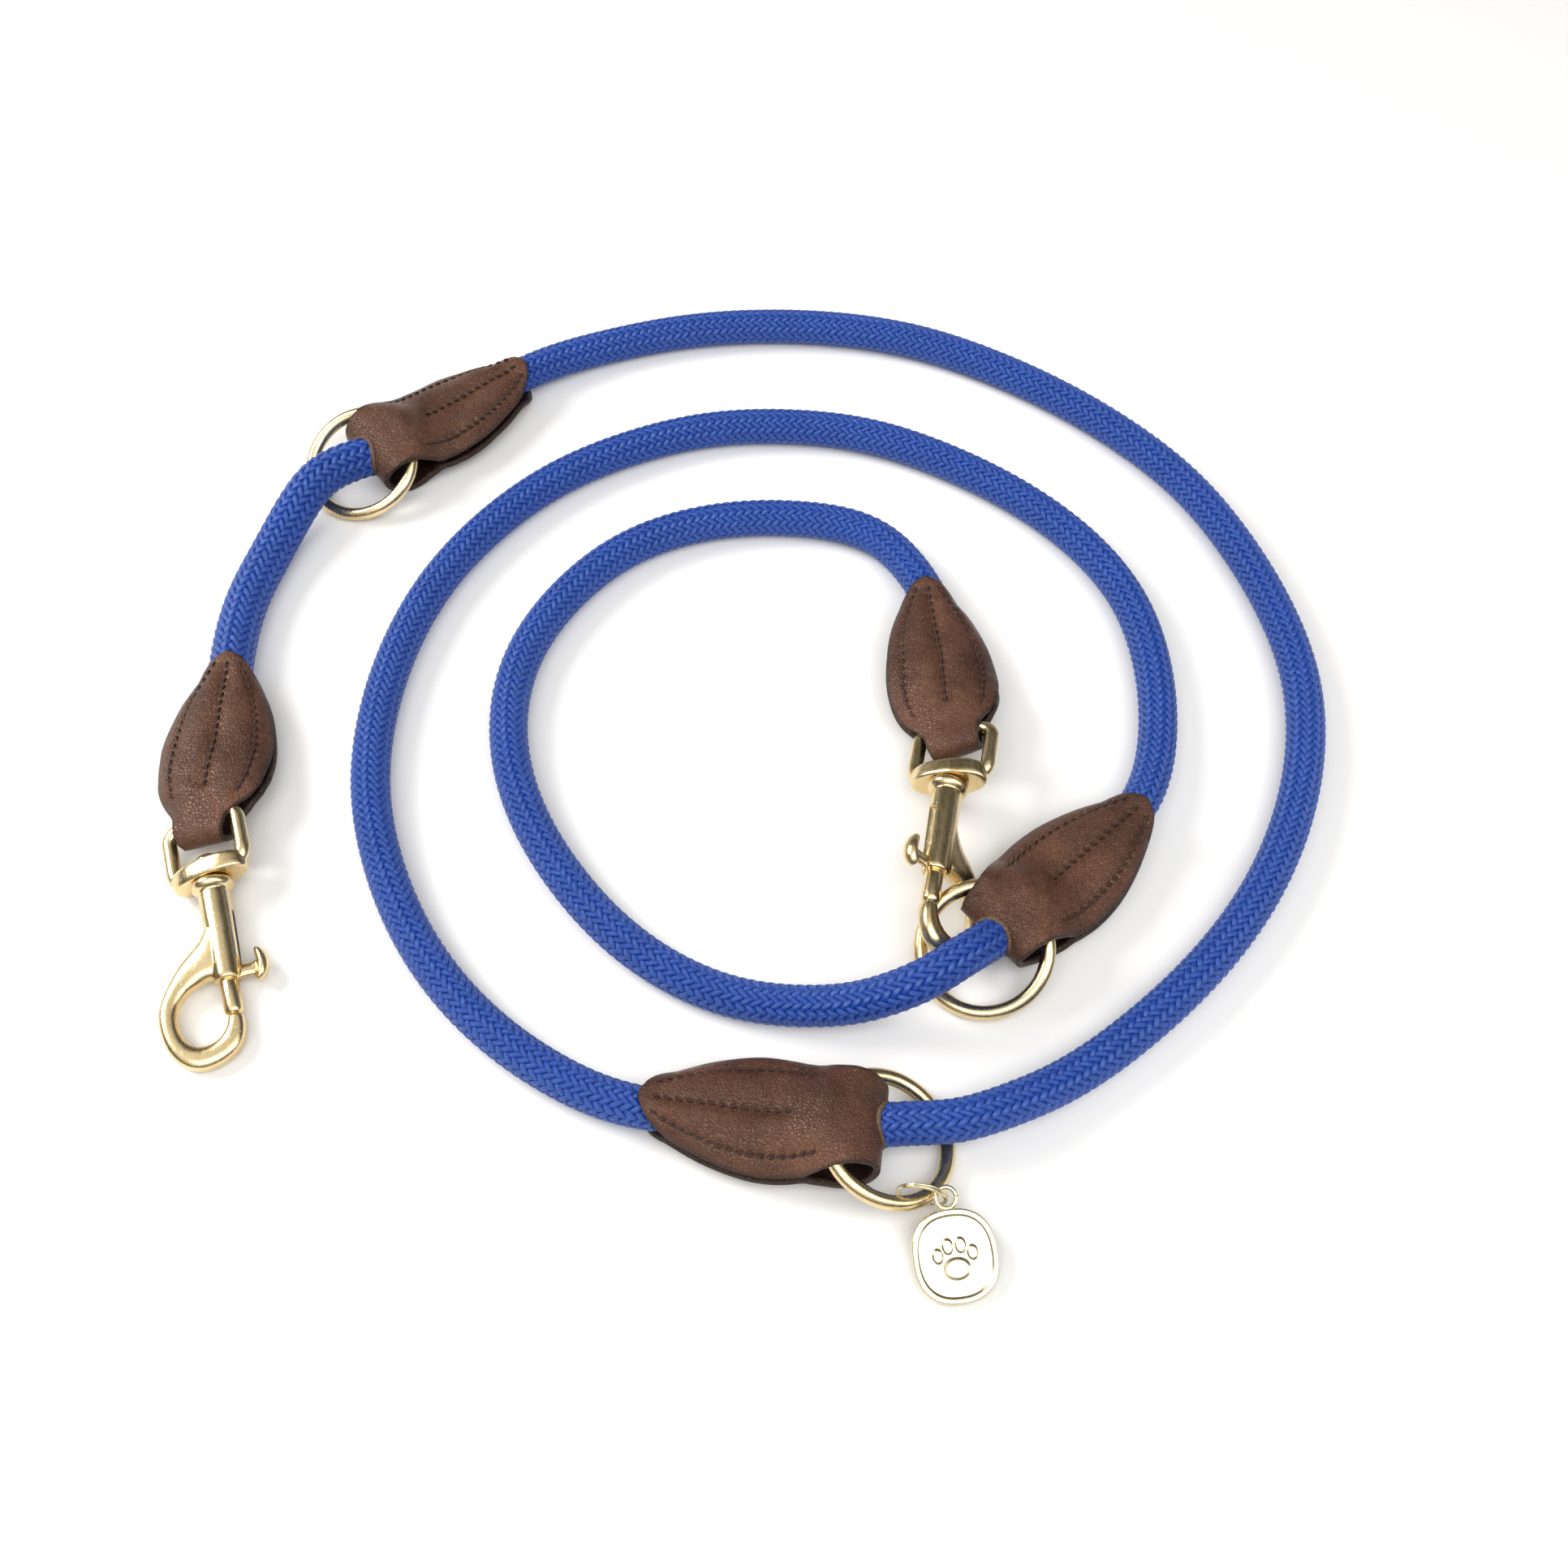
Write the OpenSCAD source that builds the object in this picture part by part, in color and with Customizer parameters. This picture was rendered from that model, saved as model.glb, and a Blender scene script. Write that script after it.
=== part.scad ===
// Braided rope lead with two swivel snap hooks, three rings on folded
// leather leaves, two leather end leaves and a small tag.
// It lies in two loops on a level surface at z = 0. Sizes are millimetres.
// A leaf is drawn with its fold at the origin and its point along +Y.
// A snap hook is drawn with its swivel at the origin, its eye towards +Y,
// its mouth towards -Y and its spine towards +X.

/* [Rope] */
// Diameter of the rope
rope_d = 11; // [10:0.5:11.5]
// Diameter of the fuller stretch beside the free snap hook
full_rope_d = 12.5; // [11:0.5:13]

/* [Leather leaves] */
// Length of a leaf from its fold to its point
leaf_l = 60; // [56:1:62]
// Width of a leaf at its widest
leaf_w = 32; // [28:1:34]
// Width of a ring leaf at its fold
ring_lip_w = 22; // [20:1:23]
// Width of an end leaf at its fold
eye_lip_w = 15; // [13:0.5:15.5]
// Thickness of the sewing thread
thread_d = 0.9; // [0.6:0.1:1.2]

/* [Rings] */
// Clear width inside a ring
ring_in = 30; // [28:1:30]
// Wire diameter of a ring
ring_wire = 4; // [3:0.5:4]
// How far a ring leans up under its leaf
ring_tilt = 22; // [21:0.5:23]

/* [Snap hooks] */
// Diameter of the sliding bolt
bolt_d = 5.1; // [4.5:0.1:5.3]
// Gap that the bolt closes
mouth_gap = 10.5; // [9:0.5:11]
// Distance from the swivel to the end of the barrel
barrel_end = 32.8; // [31:0.1:34]
// Diameter of the barrel at its collar
barrel_d = 8.6; // [8:0.1:9]
// Diameter of the swivel stud
stud_d = 4.8; // [4:0.1:5]
// Thickness of the hook across its flat
hook_t = 5.2; // [4.5:0.1:5.6]
// Clear width inside the eye
eye_in = 17.5; // [17:0.1:18.5]
// Wire diameter of the eye
eye_wire = 4.3; // [4:0.1:4.4]

/* [Tag] */
// Width of the tag
tag_w = 21; // [18:0.5:22]
// Thickness of the tag
tag_t = 1.8; // [1.4:0.1:2.2]
// Outer diameter of the split ring
split_d = 13; // [12:0.5:13]

/* [Hidden] */
$fn = 48;

// The layout is drawn about the middle of the loops, and is then moved so
// that the origin is under the middle of the leather and metal pieces.
shift = [38, -7, 0];

ring_r = (ring_in + ring_wire) / 2;
running = 0.06;       // radial gap of a shaft in its hole
free = 0.35;          // gap round the eye's bar in its leather fold
ring_free = 1.35;     // gap round a ring's wire, which also swings there
eye_bar = 16.5;       // swivel to the eye's bar inside the fold
arm_x = (eye_in + eye_wire) / 2;
boss_t = 5.2;         // thickness of the eye's swivel boss
nose = barrel_end + mouth_gap;

// Places: [x, y, z] of the swivel, then turn about Z, lean and roll.
HOOK_1 = [[-157, -29.8, 7.0], 17.2, 4.8, 180];
HOOK_2 = [[46.3, -1.8, 12.0], -10.4, -4.6, 40];
EYE_ROLL_1 = -20;
EYE_ROLL_2 = -24;

// Leaves: fold's place, turn about Z of the line from fold to point, roll.
LEAF_A = [[-160.1, -20.6, 0], 91.9];
LEAF_B = [[-132.1, 119.6, 0], 39.4];
LEAF_C = [[24.0, -104.5, 0], 172.5];
LEAF_D = [[55.1, -50.7, 0], 42.2];
LEAF_E = [[49.0, 7.5, 0], 96.2];

// Rings: centre, turn about Z, sideways roll.
RING_B = [[-134.2, 118.2, 8.75], 39.4, 8];
RING_C = [[25.6, -106.2, 8.65], 172.5, 7];
RING_D = [[53.1, -53.6, 8.6], 42.2, 6];

// Rope routes, end to end: point by point along the middle of the rope.
ROUTE_1 = [
  [-160.5, 2, 7.4], [-162.3, 32, 7.6], [-163.5, 52, 6.5], [-162, 68, 6.25],
  [-157.5, 84, 7], [-151, 100, 10.2], [-145, 110, 11.6], [-137, 117, 10.8],
  [-127.5, 123.5, 8.2]
];
ROUTE_2 = [
  [-127.5, 123.5, 8.2], [-120.5, 129, 6.9], [-104, 143, 7.2], [-84, 160.5, 7],
  [-59, 173.5, 5.5], [-33, 180.5, 5.5], [-7, 183, 5.5], [19.5, 181.5, 5.5],
  [45, 175.5, 5.5], [68.5, 164.5, 5.5], [90.5, 150, 5.5], [110.5, 132.5, 5.5],
  [127.5, 112, 5.5], [139.5, 89, 5.5], [148, 64, 5.5], [152, 38, 5.5],
  [149.5, 11.5, 5.5], [141.5, -13.5, 5.5], [129, -36.5, 5.5],
  [112.5, -57, 5.5], [93, -75, 5.5], [71, -90.5, 6.5], [56, -98, 9],
  [42, -102.5, 10.6], [30, -103, 10], [18, -103.5, 8.3]
];
ROUTE_3 = [
  [18, -103.5, 8.3], [9, -102.8, 6.9], [-14, -99.5, 7.2], [-36, -97.5, 7],
  [-61.5, -86.5, 5.5], [-82, -70.5, 5.5], [-98.5, -50, 5.5],
  [-110, -27, 5.5], [-117, -1.5, 5.5], [-118, 24.5, 5.5], [-114, 50, 5.5],
  [-105, 74.5, 5.5], [-90.5, 96.5, 5.5], [-72, 114.5, 5.5],
  [-49.5, 127.5, 5.5], [-24.5, 135.5, 5.5], [1.5, 137, 5.5],
  [27, 133, 5.5], [51, 122.5, 5.5], [72.5, 108, 5.5], [91, 89.5, 5.5],
  [104, 67, 5.5], [109, 41, 5.5], [107.5, 15, 5.5], [98.5, -9, 7],
  [84, -24, 7], [66, -41, 6.4]
];
ROUTE_4 = [
  [66, -41, 6.4], [60, -47, 8.2], [54.5, -53, 12.9], [46, -60.5, 17.5],
  [37.5, -66, 17.3], [27.5, -69, 13.6], [17.5, -70, 9.8], [6, -69.5, 7],
  [-12, -66.6, 5.6], [-41, -51, 5.5], [-59, -31.5, 5.5],
  [-72.5, -8.5, 5.5], [-79.5, 17, 5.5], [-77.5, 44, 5.5], [-66, 67.5, 5.5],
  [-47, 86.5, 5.5], [-22.5, 96.5, 5.5], [4, 98, 5.5], [27, 91.5, 5.5],
  [40, 75, 6.5], [44.5, 63, 7.2], [47, 44, 7.4], [48.5, 30, 7.6]
];

// Leaf stations: along, half width, middle height, rise above, drop below.
RING_LEAF = [
  [0, 0.95, 9.6, 2.6, 2.6], [2.5, 1.04, 9.6, 5.4, 5.6],
  [8, 1.14, 9.2, 8.2, 8.5], [15, 1.29, 8.6, 10.2, 8.5],
  [20, 1.38, 7.4, 8.6, 7.3], [26, 1.45, 6.8, 7.8, 6.8],
  [34, 1.36, 6.8, 7.8, 6.8], [43, 1.1, 7, 7.6, 7],
  [52, 0.76, 7.2, 7.4, 7.2], [57, 0.5, 7.3, 7.2, 7.3],
  [60, 0.2, 7.3, 7, 7.2]
];
RAISED_LEAF = [
  [0, 0.95, 12.4, 2.6, 2.4], [2.5, 1.04, 12.3, 4.6, 3.8],
  [8, 1.14, 10.8, 7.2, 6.8], [15, 1.29, 8.8, 10, 8.6],
  [20, 1.38, 7.4, 8.6, 7.3], [26, 1.45, 6.8, 7.8, 6.8],
  [34, 1.36, 6.8, 7.8, 6.8], [43, 1.1, 7, 7.6, 7],
  [52, 0.76, 7.2, 7.4, 7.2], [57, 0.5, 7.3, 7.2, 7.3],
  [60, 0.2, 7.3, 7, 7.2]
];
END_LEAF = [
  [0, 0.95, 0, 2.2, 2.2], [2, 1.04, 0, 4, 4], [7, 1.1, 0, 4.4, 4.4],
  [10, 1.13, 0, 4.9, 4.8], [14, 1.6, 0, 6, 5.6], [20, 1.98, 0, 7, 6.6],
  [27, 2.13, 0, 7.5, 7.1], [35, 2.06, 0, 7.6, 7.2], [44, 1.64, 0, 7.5, 7.2],
  [52, 1.08, 0, 7.4, 7.2], [57, 0.66, 0, 7.2, 7.2], [60, 0.26, 0, 7, 7]
];

function at(p) = p + shift;
function unit(v) = v / norm(v);
function tangent(p, i) =
  unit(p[min(i + 1, len(p) - 1)] - p[max(i - 1, 0)]);

// One ring of points square to the path, for a round bar of radius r.
function bar_ring(c, t, r, sides, up = [0, 0, 1]) =
  let (s = unit(cross(t, up)), u = cross(s, t))
  [for (k = [0:sides - 1]) c + r * (cos(360 * k / sides) * s + sin(360 * k / sides) * u)];

function along(path, r, sides, up = [0, 0, 1]) =
  [for (i = [0:len(path) - 1]) bar_ring(path[i], tangent(path, i), r, sides, up)];

// Closed solid through rings of equal point count.
module skin(rings) {
  n = len(rings[0]);
  m = len(rings);
  walls = [for (i = [0:m - 2]) for (k = [0:n - 1]) for (half = [0, 1])
    let (a = i * n + k, b = i * n + (k + 1) % n)
    half == 0 ? [a, b, a + n] : [b, b + n, a + n]];
  first = [for (k = [n - 1:-1:0]) k];
  last = [for (k = [0:n - 1]) (m - 1) * n + k];
  polyhedron([for (ring = rings) each ring], concat([first, last], walls), convexity = 6);
}

module rope(route, d) {
  color([0.1, 0.25, 0.72]) translate(shift) skin(along(route, d / 2, 12));
}

// Leather leaves -------------------------------------------------------

// Half width of a leaf at a station, from its share of the fold's width.
function half_w(s, lip) = min(s[1] * lip / 2, leaf_w / 2);

// Leaf stations with the leaf's real length, middle height and roll.
function placed(stations, lip, lift, roll) =
  [for (s = stations) [
    s[0] * leaf_l / 60, half_w(s, lip),
    s[2] + lift * max(0, 1 - s[0] / 26) + (lift > 0 || s[2] == 0 ? 7.2 : 0),
    s[3], s[4], roll * max(0, 1 - s[0] / 30)
  ]];

function leaf_ring(s, sides) =
  [for (k = [0:sides - 1])
    let (
      a = 360 * k / sides,
      x = s[1] * cos(a),
      z = (sin(a) > 0 ? s[3] : s[4]) * sign(sin(a)) * pow(abs(sin(a)), 0.8)
    )
    [x * cos(s[5]) + z * sin(s[5]), s[0], s[2] + z * cos(s[5]) - x * sin(s[5])]];

// Height of the upper leather over a point of the leaf.
function upper(s, x) =
  s[2] + s[3] * pow(max(0, 1 - pow(x / s[1], 2)), 0.4) * cos(s[5]) - x * sin(s[5]);

module place_leaf(leaf) {
  translate(at(leaf[0])) rotate([0, 0, leaf[1] - 90]) children();
}

module leaf(leaf, stations) {
  color([0.3, 0.19, 0.14]) place_leaf(leaf)
    skin([for (s = stations) leaf_ring(s, 20)]);
}

// A leaf folded round a ring.
module ring_leaf(place, stations, ring_place) {
  difference() {
    leaf(place, stations);
    ring_room(ring_place);
  }
}

// A leaf folded round the bar of a snap hook's eye.
module end_leaf(place, stations, hook, roll) {
  difference() {
    leaf(place, stations);
    eye_room(hook, roll);
  }
}

// Three rows of thread: one down the middle and one inside each edge.
module seams(leaf, stations, first) {
  color([0.2, 0.12, 0.09]) place_leaf(leaf)
    for (side = [-0.68, 0, 0.68])
      skin(along(
        [for (i = [first:len(stations) - 2])
          let (s = stations[i], x = side * s[1])
          [x, s[0], upper(s, x) - thread_d * 0.1]],
        thread_d / 2, 6));
}

RING_STATIONS_B = placed(RING_LEAF, ring_lip_w, 0, 8);
RING_STATIONS_C = placed(RING_LEAF, ring_lip_w, 0, 7);
RING_STATIONS_D = placed(RAISED_LEAF, ring_lip_w, 0, 6);
END_STATIONS_A = placed(END_LEAF, eye_lip_w, 1.7, -20);
END_STATIONS_E = placed(END_LEAF, eye_lip_w, 3.5, -24);

// Rings ----------------------------------------------------------------

module place_ring(ring) {
  translate(at(ring[0])) rotate([ring[2], -ring_tilt, ring[1]]) children();
}

module wire_ring(r, wire) {
  rotate_extrude($fn = 72) translate([r, 0]) circle(d = wire, $fn = 24);
}

module ring(place) {
  color([0.78, 0.62, 0.36]) place_ring(place) wire_ring(ring_r, ring_wire);
}

// Room for the ring to swing down about its bar inside the fold: a fatter
// ring, turned to the middle of the swing.
module ring_room(place) {
  place_ring(place) translate([ring_r, 0, 0]) rotate([0, -8, 0])
    translate([-ring_r, 0, 0]) wire_ring(ring_r, ring_wire + 2 * ring_free);
}

// Snap hooks -----------------------------------------------------------

module place_hook(hook, roll) {
  translate(at(hook[0])) rotate([0, 0, hook[1]]) rotate([hook[2], 0, 0])
    rotate([0, roll, 0]) children();
}

// A round bar along the shank, from one distance to the next.
module shank(from, to, r1, r2) {
  translate([0, -from, 0]) rotate([90, 0, 0]) cylinder(h = to - from, r1 = r1, r2 = r2);
}

module eye(hook, roll) {
  corner = 3.5;
  foot = 4;
  color([0.78, 0.62, 0.36]) place_hook(hook, roll) difference() {
    union() {
      translate([-arm_x + corner, eye_bar, 0]) rotate([0, 90, 0])
        cylinder(h = 2 * (arm_x - corner), d = eye_wire);
      for (side = [0, 1]) mirror([side, 0, 0]) {
        translate([arm_x, foot, 0]) rotate([-90, 0, 0])
          cylinder(h = eye_bar - corner - foot, d = eye_wire);
        translate([arm_x - corner, eye_bar - corner, 0])
          rotate_extrude(angle = 90) translate([corner, 0]) circle(d = eye_wire, $fn = 24);
        translate([arm_x - foot, foot, 0])
          rotate([0, 0, -90]) rotate_extrude(angle = 90)
            translate([foot, 0]) circle(d = eye_wire, $fn = 24);
      }
      translate([0, boss_t / 2, 0]) rotate([90, 0, 0])
        linear_extrude(boss_t) intersection() {
          circle(r = 9.2);
          square([18.4, 8.6], center = true);
        }
    }
    translate([0, 10, 0]) rotate([90, 0, 0]) cylinder(h = 20, r = stud_d / 2 + running);
  }
}

// Room for the eye's bar inside an end leaf's fold, and beside it for the arms.
module eye_room(hook, roll) {
  inside = arm_x - eye_wire / 2 - 2 * free;
  end = eye_bar + eye_wire / 2 + free;
  place_hook(hook, roll) {
    translate([-20, eye_bar, 0]) rotate([0, 90, 0])
      cylinder(h = 40, r = eye_wire / 2 + free);
    for (side = [0, 1]) mirror([side, 0, 0])
      translate([inside, 0, -15]) cube([10, end, 30]);
  }
}

// The hook's bow and the web that joins it to the barrel: at each section the
// outer edge and the inner edge, as distance out and distance along the shank.
BOW = [
  [[-2.4, nose], [1.8, nose]], [[-2.4, nose + 3], [2.2, nose + 1.7]],
  [[-0.9, nose + 7.7], [3.7, nose + 4]], [[3.4, nose + 11.3], [6.1, nose + 5.6]],
  [[9.8, nose + 12.4], [9.3, nose + 5.9]], [[14.9, nose + 9.9], [12, nose + 4.5]],
  [[17.9, nose + 5.4], [13.7, nose + 1.9]], [[19.1, nose + 0.6], [14.4, nose - 1.5]],
  [[19.3, nose - 4.2], [14.2, nose - 4.7]], [[18.5, nose - 7.7], [13.2, nose - 7.2]],
  [[16.8, nose - 11.4], [11, nose - 9.6]], [[14.8, nose - 14.5], [8.4, nose - 10.9]],
  [[12.5, nose - 17.5], [5, nose - 12]], [[9.9, nose - 20.1], [1.5, nose - 12.4]],
  [[7.1, nose - 22.4], [0, nose - 15.5]], [[5.3, nose - 24.2], [0, nose - 20]],
  [[3.8, nose - 26.5], [0, nose - 25]]
];

function bow_ring(b, sides) =
  let (out = (b[0] - b[1]) / 2, middle = (b[0] + b[1]) / 2)
  [for (k = [0:sides - 1])
    let (a = 360 * k / sides, p = middle + cos(a) * out)
    [p[0], -p[1], hook_t / 2 * sin(a)]];

module hook(hook) {
  color([0.78, 0.62, 0.36]) place_hook(hook, hook[3]) difference() {
    union() {
      skin([for (b = BOW) bow_ring(b, 16)]);
      shank(5.4, barrel_end, barrel_d / 2, barrel_d / 2 - 0.45);
      rotate([90, 0, 0]) rotate_extrude()
        polygon([[0, 2.75], [4.6, 2.75], [5.5, 3.2], [5.75, 4.2], [5.4, 5.4], [4.3, 6.2], [0, 6.2]]);
    }
    shank(2.6, 7, stud_d / 2, stud_d / 2);
    shank(9, barrel_end + 0.5, bolt_d / 2 + running, bolt_d / 2 + running);
    translate([-barrel_d, -barrel_end - 1, -1.3]) cube([barrel_d, 21.5, 2.6]);
  }
}

module stud(hook) {
  color([0.78, 0.62, 0.36]) place_hook(hook, hook[3]) {
    shank(-boss_t / 2 - 0.4, 7, stud_d / 2, stud_d / 2);
    rotate([90, 0, 0]) rotate_extrude()
      polygon([[0, -5.6], [1.4, -5.4], [2.8, -4.7], [3.8, -3.7], [4.1, -2.8], [0, -2.8]]);
  }
}

bolt_back = 24;

module spring(hook) {
  turns = 7;
  steps = 10;
  color([0.6, 0.6, 0.6]) place_hook(hook, hook[3]) skin([
    for (i = [0:turns * steps])
      let (
        a = 360 * i / steps,
        y = 9.6 + (bolt_back - 10.2) * i / (turns * steps),
        out = [cos(a), 0, sin(a)]
      )
      [for (k = [0:5]) [0, -y, 0] + (2 + 0.25 * cos(60 * k)) * out
        + 0.25 * sin(60 * k) * [0, -1, 0]]
  ]);
}

module bolt(hook) {
  color([0.78, 0.62, 0.36]) place_hook(hook, hook[3])
    rotate([90, 0, 0]) rotate_extrude() polygon([
      [0, bolt_back], [bolt_d / 2 - 0.4, bolt_back], [bolt_d / 2, bolt_back + 0.4],
      [bolt_d / 2, nose - 2.2], [bolt_d / 2 - 0.4, nose - 1.1],
      [bolt_d / 2 - 1.1, nose - 0.4], [0, nose - 0.25]
    ]);
}

// Thumb piece: a blade through the barrel's slot and a curved rest.
module thumb(hook) {
  rest = [
    [-8.6, -26.2, 0.9], [-9.1, -28, 1.5], [-8.9, -30.6, 1.8],
    [-7.6, -32.6, 1.5], [-5.3, -31.2, 0.95]
  ];
  color([0.78, 0.62, 0.36]) place_hook(hook, hook[3]) {
    translate([-4.6, -33.2, -1.05]) cube([2.4, 4.4, 2.1]);
    for (i = [0:len(rest) - 2]) hull() for (p = [rest[i], rest[i + 1]])
      translate([p[0], p[1], 0]) cylinder(h = 2 * p[2] + 0.6, r = p[2], center = true, $fn = 24);
  }
}

// Tag ------------------------------------------------------------------

// The split ring's middle, its turn about Z and its lean.
SPLIT = [[34, -120, 6.8], -12, 90];
// The tag's hole, its turn about Z and the lift of its loop end.
TAG = [[39.7, -121, 7], 8, 15.8];

module split_ring() {
  color([0.83, 0.74, 0.5]) translate(at(SPLIT[0])) rotate([SPLIT[2], 0, SPLIT[1]])
    rotate_extrude($fn = 60) translate([split_d / 2 - 1.1, -0.75]) square([1.1, 1.5]);
}

module tag() {
  loop_r = 3.1;
  hole_r = 1.95;
  color([0.85, 0.77, 0.55]) translate(at(TAG[0])) rotate([TAG[2], 0, TAG[1]])
    difference() {
      union() {
        linear_extrude(tag_t) {
          circle(r = loop_r);
          translate([-1.6, -4.4]) square([3.2, 2.2]);
          tag_outline(0);
        }
        linear_extrude(tag_t + 0.4) difference() {
          tag_outline(0);
          tag_outline(1.1);
        }
        translate([0, -14.6, 0]) linear_extrude(tag_t + 0.4) paw();
      }
      translate([0, 0, -1]) cylinder(h = 5, r = hole_r);
    }
}

module tag_outline(inset) {
  r = tag_w / 2 - inset;
  intersection() {
    translate([0, -13.5]) circle(r = r + 1.6, $fn = 72);
    translate([-r, -25.4 + inset]) square([2 * r, 22.6 - 2 * inset]);
  }
}

module paw() {
  translate([0, -2.2]) circle(r = 2.9);
  for (toe = [[-4, 1.2], [-1.45, 3.4], [1.45, 3.4], [4, 1.2]])
    translate(toe) circle(r = 1.2);
}

rope(ROUTE_1, full_rope_d);  // rope_1
rope(ROUTE_2, rope_d);  // rope_2
rope(ROUTE_3, rope_d);  // rope_3
rope(ROUTE_4, rope_d);  // rope_4
end_leaf(LEAF_A, END_STATIONS_A, HOOK_1, EYE_ROLL_1);  // leaf_a
ring_leaf(LEAF_B, RING_STATIONS_B, RING_B);  // leaf_b
ring_leaf(LEAF_C, RING_STATIONS_C, RING_C);  // leaf_c
ring_leaf(LEAF_D, RING_STATIONS_D, RING_D);  // leaf_d
end_leaf(LEAF_E, END_STATIONS_E, HOOK_2, EYE_ROLL_2);  // leaf_e
seams(LEAF_A, END_STATIONS_A, 4);  // seams_a
seams(LEAF_B, RING_STATIONS_B, 4);  // seams_b
seams(LEAF_C, RING_STATIONS_C, 4);  // seams_c
seams(LEAF_D, RING_STATIONS_D, 4);  // seams_d
seams(LEAF_E, END_STATIONS_E, 4);  // seams_e
ring(RING_B);  // ring_b
ring(RING_C);  // ring_c
ring(RING_D);  // ring_d
eye(HOOK_1, EYE_ROLL_1);  // eye_1
hook(HOOK_1);  // hook_1
stud(HOOK_1);  // stud_1
spring(HOOK_1);  // spring_1
bolt(HOOK_1);  // bolt_1
thumb(HOOK_1);  // thumb_1
eye(HOOK_2, EYE_ROLL_2);  // eye_2
hook(HOOK_2);  // hook_2
stud(HOOK_2);  // stud_2
spring(HOOK_2);  // spring_2
bolt(HOOK_2);  // bolt_2
thumb(HOOK_2);  // thumb_2
split_ring();
tag();
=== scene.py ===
"""Looks of the braided rope lead: rope, leather leaves, stitches, brass hooks, rings and tag."""

import math

import bpy
import numpy as np
from mathutils import Matrix, Vector


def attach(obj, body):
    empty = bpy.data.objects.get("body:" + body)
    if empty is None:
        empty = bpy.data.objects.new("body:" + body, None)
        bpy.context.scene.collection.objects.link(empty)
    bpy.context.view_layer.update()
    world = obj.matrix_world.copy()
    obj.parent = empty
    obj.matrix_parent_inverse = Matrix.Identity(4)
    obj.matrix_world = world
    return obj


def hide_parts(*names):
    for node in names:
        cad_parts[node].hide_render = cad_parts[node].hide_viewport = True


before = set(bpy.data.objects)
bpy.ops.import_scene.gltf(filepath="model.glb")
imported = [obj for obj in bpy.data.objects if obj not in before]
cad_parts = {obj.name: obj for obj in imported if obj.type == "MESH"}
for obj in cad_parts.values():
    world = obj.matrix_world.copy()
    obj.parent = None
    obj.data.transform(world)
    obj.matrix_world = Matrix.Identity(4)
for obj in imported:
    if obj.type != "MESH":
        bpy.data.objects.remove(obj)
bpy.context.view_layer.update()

MM = 0.001
SHIFT = np.array([38.0, -7.0, 0.0])  # the layout's middle to the frame's origin, in mm
UP = np.array([0.0, 0.0, 1.0])

# Rope routes, in mm of the layout, as the CAD has them.
ROUTES = {
    1: [
        (-160.5, 2, 7.4), (-162.3, 32, 7.6), (-163.5, 52, 6.5), (-162, 68, 6.25),
        (-157.5, 84, 7), (-151, 100, 10.2), (-145, 110, 11.6), (-137, 117, 10.8),
        (-127.5, 123.5, 8.2),
    ],
    2: [
        (-127.5, 123.5, 8.2), (-120.5, 129, 6.9), (-104, 143, 7.2), (-84, 160.5, 7),
        (-59, 173.5, 5.5), (-33, 180.5, 5.5), (-7, 183, 5.5), (19.5, 181.5, 5.5),
        (45, 175.5, 5.5), (68.5, 164.5, 5.5), (90.5, 150, 5.5), (110.5, 132.5, 5.5),
        (127.5, 112, 5.5), (139.5, 89, 5.5), (148, 64, 5.5), (152, 38, 5.5),
        (149.5, 11.5, 5.5), (141.5, -13.5, 5.5), (129, -36.5, 5.5),
        (112.5, -57, 5.5), (93, -75, 5.5), (71, -90.5, 6.5), (56, -98, 9),
        (42, -102.5, 10.6), (30, -103, 10), (18, -103.5, 8.3),
    ],
    3: [
        (18, -103.5, 8.3), (9, -102.8, 6.9), (-14, -99.5, 7.2), (-36, -97.5, 7),
        (-61.5, -86.5, 5.5), (-82, -70.5, 5.5), (-98.5, -50, 5.5),
        (-110, -27, 5.5), (-117, -1.5, 5.5), (-118, 24.5, 5.5), (-114, 50, 5.5),
        (-105, 74.5, 5.5), (-90.5, 96.5, 5.5), (-72, 114.5, 5.5),
        (-49.5, 127.5, 5.5), (-24.5, 135.5, 5.5), (1.5, 137, 5.5),
        (27, 133, 5.5), (51, 122.5, 5.5), (72.5, 108, 5.5), (91, 89.5, 5.5),
        (104, 67, 5.5), (109, 41, 5.5), (107.5, 15, 5.5), (98.5, -9, 7),
        (84, -24, 7), (66, -41, 6.4),
    ],
    4: [
        (66, -41, 6.4), (60, -47, 8.2), (54.5, -53, 12.9), (46, -60.5, 17.5),
        (37.5, -66, 17.3), (27.5, -69, 13.6), (17.5, -70, 9.8), (6, -69.5, 7),
        (-12, -66.6, 5.6), (-41, -51, 5.5), (-59, -31.5, 5.5),
        (-72.5, -8.5, 5.5), (-79.5, 17, 5.5), (-77.5, 44, 5.5), (-66, 67.5, 5.5),
        (-47, 86.5, 5.5), (-22.5, 96.5, 5.5), (4, 98, 5.5), (27, 91.5, 5.5),
        (40, 75, 6.5), (44.5, 63, 7.2), (47, 44, 7.4), (48.5, 30, 7.6),
    ],
}
ROPE_D = {1: 12.5, 2: 11.0, 3: 11.0, 4: 11.0}

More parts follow.
